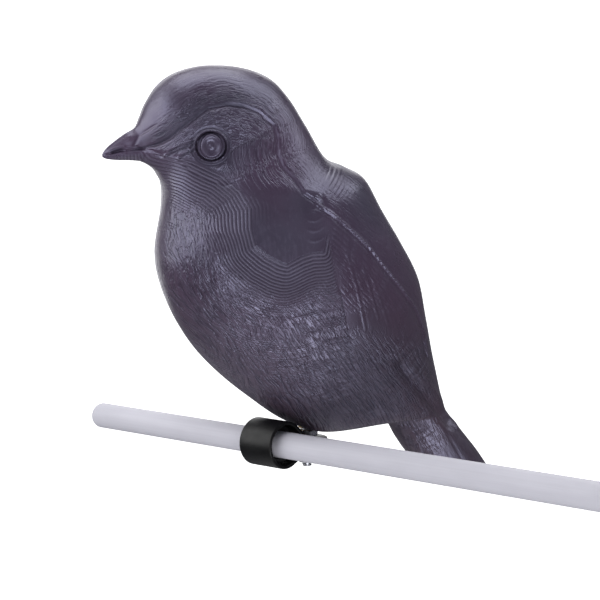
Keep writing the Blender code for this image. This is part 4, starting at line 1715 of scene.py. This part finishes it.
@dataclass
class HexNut:
    """A hex nut whose corners are turned off at both ends, with a round collar if it locks."""

    name: str
    body: str
    node: str
    low: float
    height: float
    across_flats: float = 7.0
    bore: float = 2.15
    collar_radius: float = 0.0
    collar_height: float = 0.0
    sides: int = 96

    def ring(self, limit: float, level: float) -> list[Point3]:
        """Draw the hex outline.

        Args:
            limit: The radius that it is turned down to.
            level: Its height along the stud.

        Returns:
            Its points.
        """
        points = []
        for i in range(self.sides):
            angle = math.tau * i / self.sides
            from_flat = (angle + math.pi / 6) % (math.pi / 3) - math.pi / 6
            reach = min(self.across_flats / 2 / math.cos(from_flat), limit)
            points.append((reach * math.cos(angle), reach * math.sin(angle), level))
        return points

    def build(self) -> bpy.types.Object:
        """Make the nut from rings, bore first."""
        half, corner = self.across_flats / 2, self.across_flats / 2 / math.cos(math.pi / 6)
        low, high = self.low, self.low + self.height
        rings = [self.ring(self.bore, low + 0.3), self.ring(self.bore + 0.3, low)]
        if self.collar_radius:
            edge = self.collar_radius
            rings += [self.ring(edge - 0.45, low), self.ring(edge - 0.15, low + 0.12)]
            rings += [self.ring(edge, low + 0.4), self.ring(edge, low + self.collar_height - 0.15)]
            low += self.collar_height
            rings.append(self.ring(edge + 0.12, low))
        for limit, level in ((half - 0.15, low), (half, low + 0.05), (corner - 0.2, low + 0.28)):
            rings.append(self.ring(limit, level))
        rings += [self.ring(corner, low + 0.42), self.ring(corner, high - 0.42)]
        for limit, level in ((corner - 0.2, high - 0.28), (half, high - 0.05), (half - 0.15, high)):
            rings.append(self.ring(limit, level))
        rings += [self.ring(self.bore + 0.3, high), self.ring(self.bore, high - 0.3)]
        points = [point for ring in rings for point in ring]
        faces = []
        for k in range(len(rings)):
            faces += band(k * self.sides, (k + 1) % len(rings) * self.sides, self.sides)
        nut = mesh_object(self.name, points, faces, 38.0)
        return settle(nut, STUD_PLACE, BIRD_HEADING)

    def dress(self, nut: bpy.types.Object) -> None:
        """Give the nut its finish and its place in the table."""
        finish_piece(nut, self.body, (self.node,), ZincPlate())


@dataclass
class PlainWasher:
    """A stamped washer with one rolled edge and one sharper edge."""

    bore: float = 2.15
    radius: float = 4.5
    low: float = -3.85
    height: float = 0.8

    def build(self) -> bpy.types.Object:
        """Make the washer from its turned outline."""
        low, high = self.low, self.low + self.height
        outline = [(self.bore + 0.1, low), (self.radius - 0.1, low), (self.radius, low + 0.1)]
        outline += [(self.radius, high - 0.3), (self.radius - 0.09, high - 0.12), (self.radius - 0.3, high)]
        outline += [(self.bore + 0.2, high), (self.bore, high - 0.15), (self.bore, low + 0.1)]
        points, faces = turned(outline, 72, bored=True)
        washer = mesh_object("plain_washer", points, faces, 35.0)
        return settle(washer, STUD_PLACE, BIRD_HEADING)

    def dress(self, washer: bpy.types.Object) -> None:
        """Give the washer its finish and its place in the table."""
        finish_piece(washer, "washer", ("washer",), ZincPlate())


@dataclass
class HiddenFixings:
    """The brass insert and the three pins, whose CAD shapes are right as they are."""

    def dress(self) -> None:
        """Put real finishes on the CAD nodes."""
        finishes = {"threaded_insert": TurnedBrass()}
        for place in ("crown", "breast", "rump"):
            finishes[f"locating_pin_{place}"] = PinPlastic()
        for name, finish in finishes.items():
            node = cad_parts[name]
            node.data.materials.clear()
            node.data.materials.append(finish.material())
            log.info("%s keeps its CAD shape, in %s", name, finish.name)


# ---------------------------------------------------------------- clip and rod


@dataclass
class StrapClip:
    """One strap bent into a loop, its two tabs meeting flat with rounded ends round the stud."""

    thickness: float = 1.3
    width: float = 15.5
    loop_radius: float = 7.9
    tab_height: float = -1.3
    bend_radius: float = 3.0
    bend_reach: float = 13.5
    tab_end: float = 25.5
    hole_radius: float = 2.3
    drill_span: Point2 = (-6.0, 4.0)
    stud_reach: float = STUD_PLACE[1]
    edge_round: float = 0.42
    crisp_degrees: float = 50.0

    def arc(self, centre: Point2, radius: float, start: float, end: float, steps: int) -> list[Array]:
        """Draw an arc.

        Args:
            centre: Its centre.
            radius: Its radius.
            start: The angle where it starts, in radians.
            end: The angle where it ends.
            steps: How many spans it has.

        Returns:
            Its points, both ends included.
        """
        angles = np.linspace(start, end, steps + 1)
        return [np.array(centre) + radius * np.array([math.cos(a), math.sin(a)]) for a in angles]

    def middle_line(self) -> Array:
        """Return the strap's middle line as (reach, up), from the upper tab's end round the loop."""
        half_gap = (self.thickness + GAP) / 2
        ends = []
        for side in (1, -1):
            height = self.tab_height + side * half_gap
            centre = np.array([self.bend_reach, height + side * self.bend_radius])
            lean = math.acos((self.loop_radius + self.bend_radius) / float(np.hypot(*centre)))
            leave = math.atan2(centre[1], centre[0]) + side * lean
            bend = self.arc(tuple(centre), self.bend_radius, -side * math.pi / 2, leave - side * math.pi, 14)
            tab_run = self.tab_end - self.bend_reach
            shares = [(1.0 - math.cos(math.pi / 2 * k / 24)) for k in range(24)]
            tab = [np.array([self.tab_end - tab_run * share, height]) for share in shares]
            ends.append((leave, tab + bend))
        (upper_leave, upper), (lower_leave, lower) = ends
        loop = self.arc((0.0, 0.0), self.loop_radius, upper_leave, lower_leave + math.tau, 110)
        return np.array(upper + loop[1:-1] + lower[::-1])

    def half_width(self, reach: float) -> float:
        """Return the strap's half width at a reach from the rod; the tabs' ends are round.

        Args:
            reach: How far from the rod it is.

        Returns:
            Half the width in millimetres.
        """
        room = self.tab_end - self.stud_reach
        if reach < self.stud_reach:
            return self.width / 2
        share = min(0.995, (reach - self.stud_reach) / room)
        return self.width / 2 * math.sqrt(1.0 - share * share)

    def section(self, half_width: float) -> list[Point2]:
        """Draw the strap's rounded section.

        Args:
            half_width: The strap's half width there.

        Returns:
            Points (across, out).
        """
        half = self.thickness / 2
        round_off = min(self.edge_round, half_width * 0.8)
        points = []
        for sign_x, sign_y, start in ((1, 1, 0.0), (-1, 1, 0.5), (-1, -1, 1.0), (1, -1, 1.5)):
            for k in range(5):
                angle = math.pi * (start + 0.5 * k / 4)
                x = sign_x * (half_width - round_off) + round_off * math.cos(angle)
                y = sign_y * (half - self.edge_round) + self.edge_round * math.sin(angle)
                points.append((x, y))
        return points

    def build(self) -> bpy.types.Object:
        """Sweep the section along the line and drill the tabs."""
        line = self.middle_line()
        runs = np.gradient(line, axis=0)
        runs /= np.linalg.norm(runs, axis=1, keepdims=True)
        points = []
        for place, run in zip(line, runs):
            out = np.array([run[1], -run[0]])
            in_tab = abs(run[0]) > 0.999 and place[0] > self.bend_reach
            half_width = self.half_width(place[0]) if in_tab else self.width / 2
            for across, rise in self.section(half_width):
                spot = place + out * rise
                points.append((across, spot[0], spot[1]))
        count = len(self.section(1.0))
        faces = []
        for k in range(len(line) - 1):
            faces += band(k * count, (k + 1) * count, count)
        faces.append(tuple(range(count)))
        faces.append(tuple((len(line) - 1) * count + i for i in range(count)))
        strap = mesh_object("strap_clip", points, faces, self.crisp_degrees)
        low, high = self.drill_span
        outline = [(0.0, low), (self.hole_radius, low), (self.hole_radius, high), (0.0, high)]
        hole, hole_faces = turned(outline, 48)
        drill = mesh_object("drill", moved(hole, Matrix.Translation((0.0, self.stud_reach, 0.0))), hole_faces)
        cut_and_join(strap, drill, "DIFFERENCE")
        strap.data.shade_smooth()
        strap.data.set_sharp_from_angle(angle=math.radians(self.crisp_degrees))
        return settle(strap, CLIP_PLACE)

    def dress(self, strap: bpy.types.Object) -> None:
        """Give the strap its finish and its place in the table."""
        finish_piece(strap, "clip", ("clip_strap",), DippedStrap())


@dataclass
class RodSleeve:
    """The rubber sleeve in the loop, with softened ends and three shallow ribs in its bore."""

    inner_radius: float = 5.05
    outer_radius: float = 6.95
    length: float = 8.5

    def build(self) -> bpy.types.Object:
        """Make the sleeve from its turned outline, then lay it along the rod."""
        half, edge = self.length / 2, 0.3
        outline = [(self.inner_radius + edge, -half), (self.outer_radius - edge, -half)]
        outline += [(self.outer_radius, -half + edge), (self.outer_radius, half - edge)]
        outline += [(self.outer_radius - edge, half), (self.inner_radius + edge, half)]
        for rib in (1, 0, -1):
            centre = rib * half * 0.6
            outline += [(self.inner_radius + 0.25, centre + 0.7), (self.inner_radius, centre + 0.35)]
            outline += [(self.inner_radius, centre - 0.35), (self.inner_radius + 0.25, centre - 0.7)]
        points, faces = turned(outline, 96, bored=True)
        lay = Matrix.Rotation(math.radians(90.0), 4, "Y")
        sleeve = mesh_object("rod_sleeve", moved(points, lay), faces, 35.0)
        return settle(sleeve, CLIP_PLACE)

    def dress(self, sleeve: bpy.types.Object) -> None:
        """Give the sleeve its finish and its place in the table."""
        finish_piece(sleeve, "sleeve", ("rod_liner",), SleeveRubber())


@dataclass
class PerchRod:
    """The perch: a long coated rod with a soft rounded nose and a cut end."""

    radius: float = 4.75
    length: float = 254.0
    nose_round: float = 3.2
    sides: int = 96
    spans: int = 60

    def build(self) -> bpy.types.Object:
        """Make the rod from its turned outline, then lay it along X."""
        nose = [(0.0, 0.0)]
        for k in range(17):
            angle = math.pi / 2 * k / 16
            reach = self.radius - self.nose_round * (1.0 - math.sin(angle))
            nose.append((reach, self.nose_round * (1.0 - math.cos(angle))))
        run = self.length - self.nose_round - 0.5
        body = [(self.radius, self.nose_round + run * k / self.spans) for k in range(1, self.spans + 1)]
        cut = [(self.radius - 0.12, self.length - 0.3), (self.radius - 0.45, self.length - 0.05)]
        cut += [(self.radius - 0.7, self.length), (0.0, self.length)]
        points, faces = turned(nose + body + cut, self.sides)
        lay = Matrix.Translation((-self.length, 0.0, 0.0)) @ Matrix.Rotation(math.radians(90.0), 4, "Y")
        return mesh_object("coated_perch_rod", moved(points, lay), faces, 40.0)

    def dress(self, rod: bpy.types.Object) -> None:
        """Give the rod its finish and its place in the table."""
        finish_piece(rod, "rod", ("perch_rod",), RodCoat())


# ---------------------------------------------------------------- studio


@dataclass
class SoftBox:
    """One soft light: the way to it from the clip, how far and wide it is, and its height's share."""

    name: str
    way: Point3
    distance: float
    size: float
    watts: float
    tall: float = 1.0
    colour: str = "#ffffff"


@dataclass
class Studio:
    """A white paper sweep, soft boxes and the camera."""

    floor_height: float = -0.62
    lens_mm: float = 126.0
    azimuth: float = 44.0
    elevation: float = 5.75
    distance: float = 0.751
    aim_right: float = 0.01026
    aim_up: float = 0.0511
    world: str = "#67686e"
    walls: str = "#f2f2f3"
    look_at: Point3 = (CLIP_PLACE[0], CLIP_PLACE[1], 60.0)
    sweep_half_width: float = 2.4
    sweep_start: float = -3.0
    sweep_bend_start: float = 0.9
    sweep_bend: float = 0.6
    sweep_top: float = 2.6
    boxes: tuple[SoftBox, ...] = (
        SoftBox("key_left", (-0.66, -0.63, 0.34), 0.95, 1.0, 8.2),
        SoftBox("fill_front", (-0.05, -0.90, 0.30), 0.95, 0.6, 2.2),
        SoftBox("low_front", (0.79, -0.45, -0.42), 1.0, 0.8, 6.5, 0.55),
        SoftBox("overhead", (-0.25, 0.12, 0.93), 0.9, 0.8, 5.2),
        SoftBox("back_right", (0.38, 0.52, 0.74), 1.0, 0.7, 4.3),
        SoftBox("back_left", (-0.76, 0.60, 0.18), 1.1, 1.0, 4.5),
        SoftBox("floor_bounce", (0.0, 0.0, -1.0), 0.55, 0.9, 1.3),
    )

    def build_sweep(self) -> bpy.types.Object:
        """Make the paper sweep, in metres, which curves up behind the decoy."""
        start, bend = self.sweep_bend_start, self.sweep_bend
        outline = [(self.sweep_start, 0.0), (start, 0.0)]
        for k in range(1, 25):
            angle = math.pi / 2 * k / 24
            outline.append((start + bend * math.sin(angle), bend - bend * math.cos(angle)))
        outline.append((start + bend, self.sweep_top))
        points, faces = [], []
        for x in (-self.sweep_half_width, self.sweep_half_width):
            for y, z in outline:
                points.append((x / MM, y / MM, z / MM))
        count = len(outline)
        for i in range(count - 1):
            faces.append((i, i + 1, i + 1 + count, i + count))
        sweep = mesh_object("paper_sweep", points, faces, 60.0)
        turn = math.radians(self.azimuth)
        sweep.matrix_world = placed((CLIP_PLACE[0], 0.0, self.floor_height / MM), turn)
        sweep.data.materials.append(SweepPaper().material())
        # The paper is bright to look at, but flagged off the resin: it neither mirrors nor bounces there.
        sweep.visible_glossy = False
        sweep.visible_diffuse = False
        sweep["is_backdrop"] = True
        return sweep

    def light(self) -> None:
        """Hang the soft boxes and set the room's own light."""
        centre = Vector(self.look_at) * MM
        for box in self.boxes:
            data = bpy.data.lights.new(box.name, "AREA")
            data.shape = "RECTANGLE"
            data.size = box.size
            data.size_y = box.size * box.tall
            data.energy = box.watts
            data.color = linear(box.colour)[:3]
            lamp = bpy.data.objects.new(box.name, data)
            way = Vector(box.way).normalized()
            lamp.location = centre + way * box.distance
            lamp.rotation_mode = "QUATERNION"
            lamp.rotation_quaternion = way.to_track_quat("Z", "Y")
            lamp.visible_camera = False
            bpy.context.scene.collection.objects.link(lamp)
        world = bpy.data.worlds.new("room")
        world.use_nodes = True
        background = world.node_tree.nodes["Background"]
        seen = add_node(world.node_tree, "ShaderNodeLightPath").outputs["Is Camera Ray"]
        ends = {6: linear(self.world), 7: linear(self.walls)}
        mix = add_node(world.node_tree, "ShaderNodeMix", {"data_type": "RGBA"}, ends, {0: seen})
        world.node_tree.links.new(mix.outputs[2], background.inputs["Color"])
        bpy.context.scene.world = world

    def aim_camera(self) -> None:
        """Set the camera at its angle, looking at the decoy from the bird's left."""
        a, e = math.radians(self.azimuth), math.radians(self.elevation)
        right = Vector((math.cos(a), math.sin(a), 0.0))
        up = Vector((-math.sin(a) * math.sin(e), math.cos(a) * math.sin(e), math.cos(e)))
        back = right.cross(up)
        data = bpy.data.cameras.new("camera")
        data.lens = self.lens_mm
        data.sensor_width = 36.0
        camera = bpy.data.objects.new("camera", data)
        place = Vector(CLIP_PLACE) * MM + right * self.aim_right + up * self.aim_up + back * self.distance
        camera.matrix_world = Matrix.Translation(place) @ Matrix((right, up, back)).transposed().to_4x4()
        bpy.context.scene.collection.objects.link(camera)
        bpy.context.scene.camera = camera

    def build(self) -> None:
        """Set up the paper, the lights, the camera and plain colour output."""
        self.build_sweep()
        self.light()
        self.aim_camera()
        bpy.context.scene.view_settings.view_transform = "Standard"


def main() -> None:
    """Build every piece round the frame, then record both boxes."""
    logging.basicConfig(level=logging.INFO, format="%(name)s: %(message)s")
    cad_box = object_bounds()
    jam = HexNut("jam_hex_nut", "bird", "jam_nut", 0.45, 2.4)
    lock = HexNut("lock_hex_nut", "nut", "lock_nut", -9.15, 5.0, collar_radius=3.1, collar_height=1.8)
    assemblies = [BodyShell(Side.LEFT), BodyShell(Side.RIGHT), EyeBead(Side.LEFT), EyeBead(Side.RIGHT)]
    assemblies += [Stud(), jam, PlainWasher(), lock, StrapClip(), RodSleeve(), PerchRod()]
    for assembly in assemblies:
        assembly.dress(assembly.build())
    HiddenFixings().dress()
    Studio().build()
    boxes = {"cad": cad_box, "visual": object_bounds()}
    for name, (low, high) in boxes.items():
        log.info("%s box: %s mm", name, " x ".join(f"{side / MM:.1f}" for side in high - low))


if __name__ == "__main__":
    main()
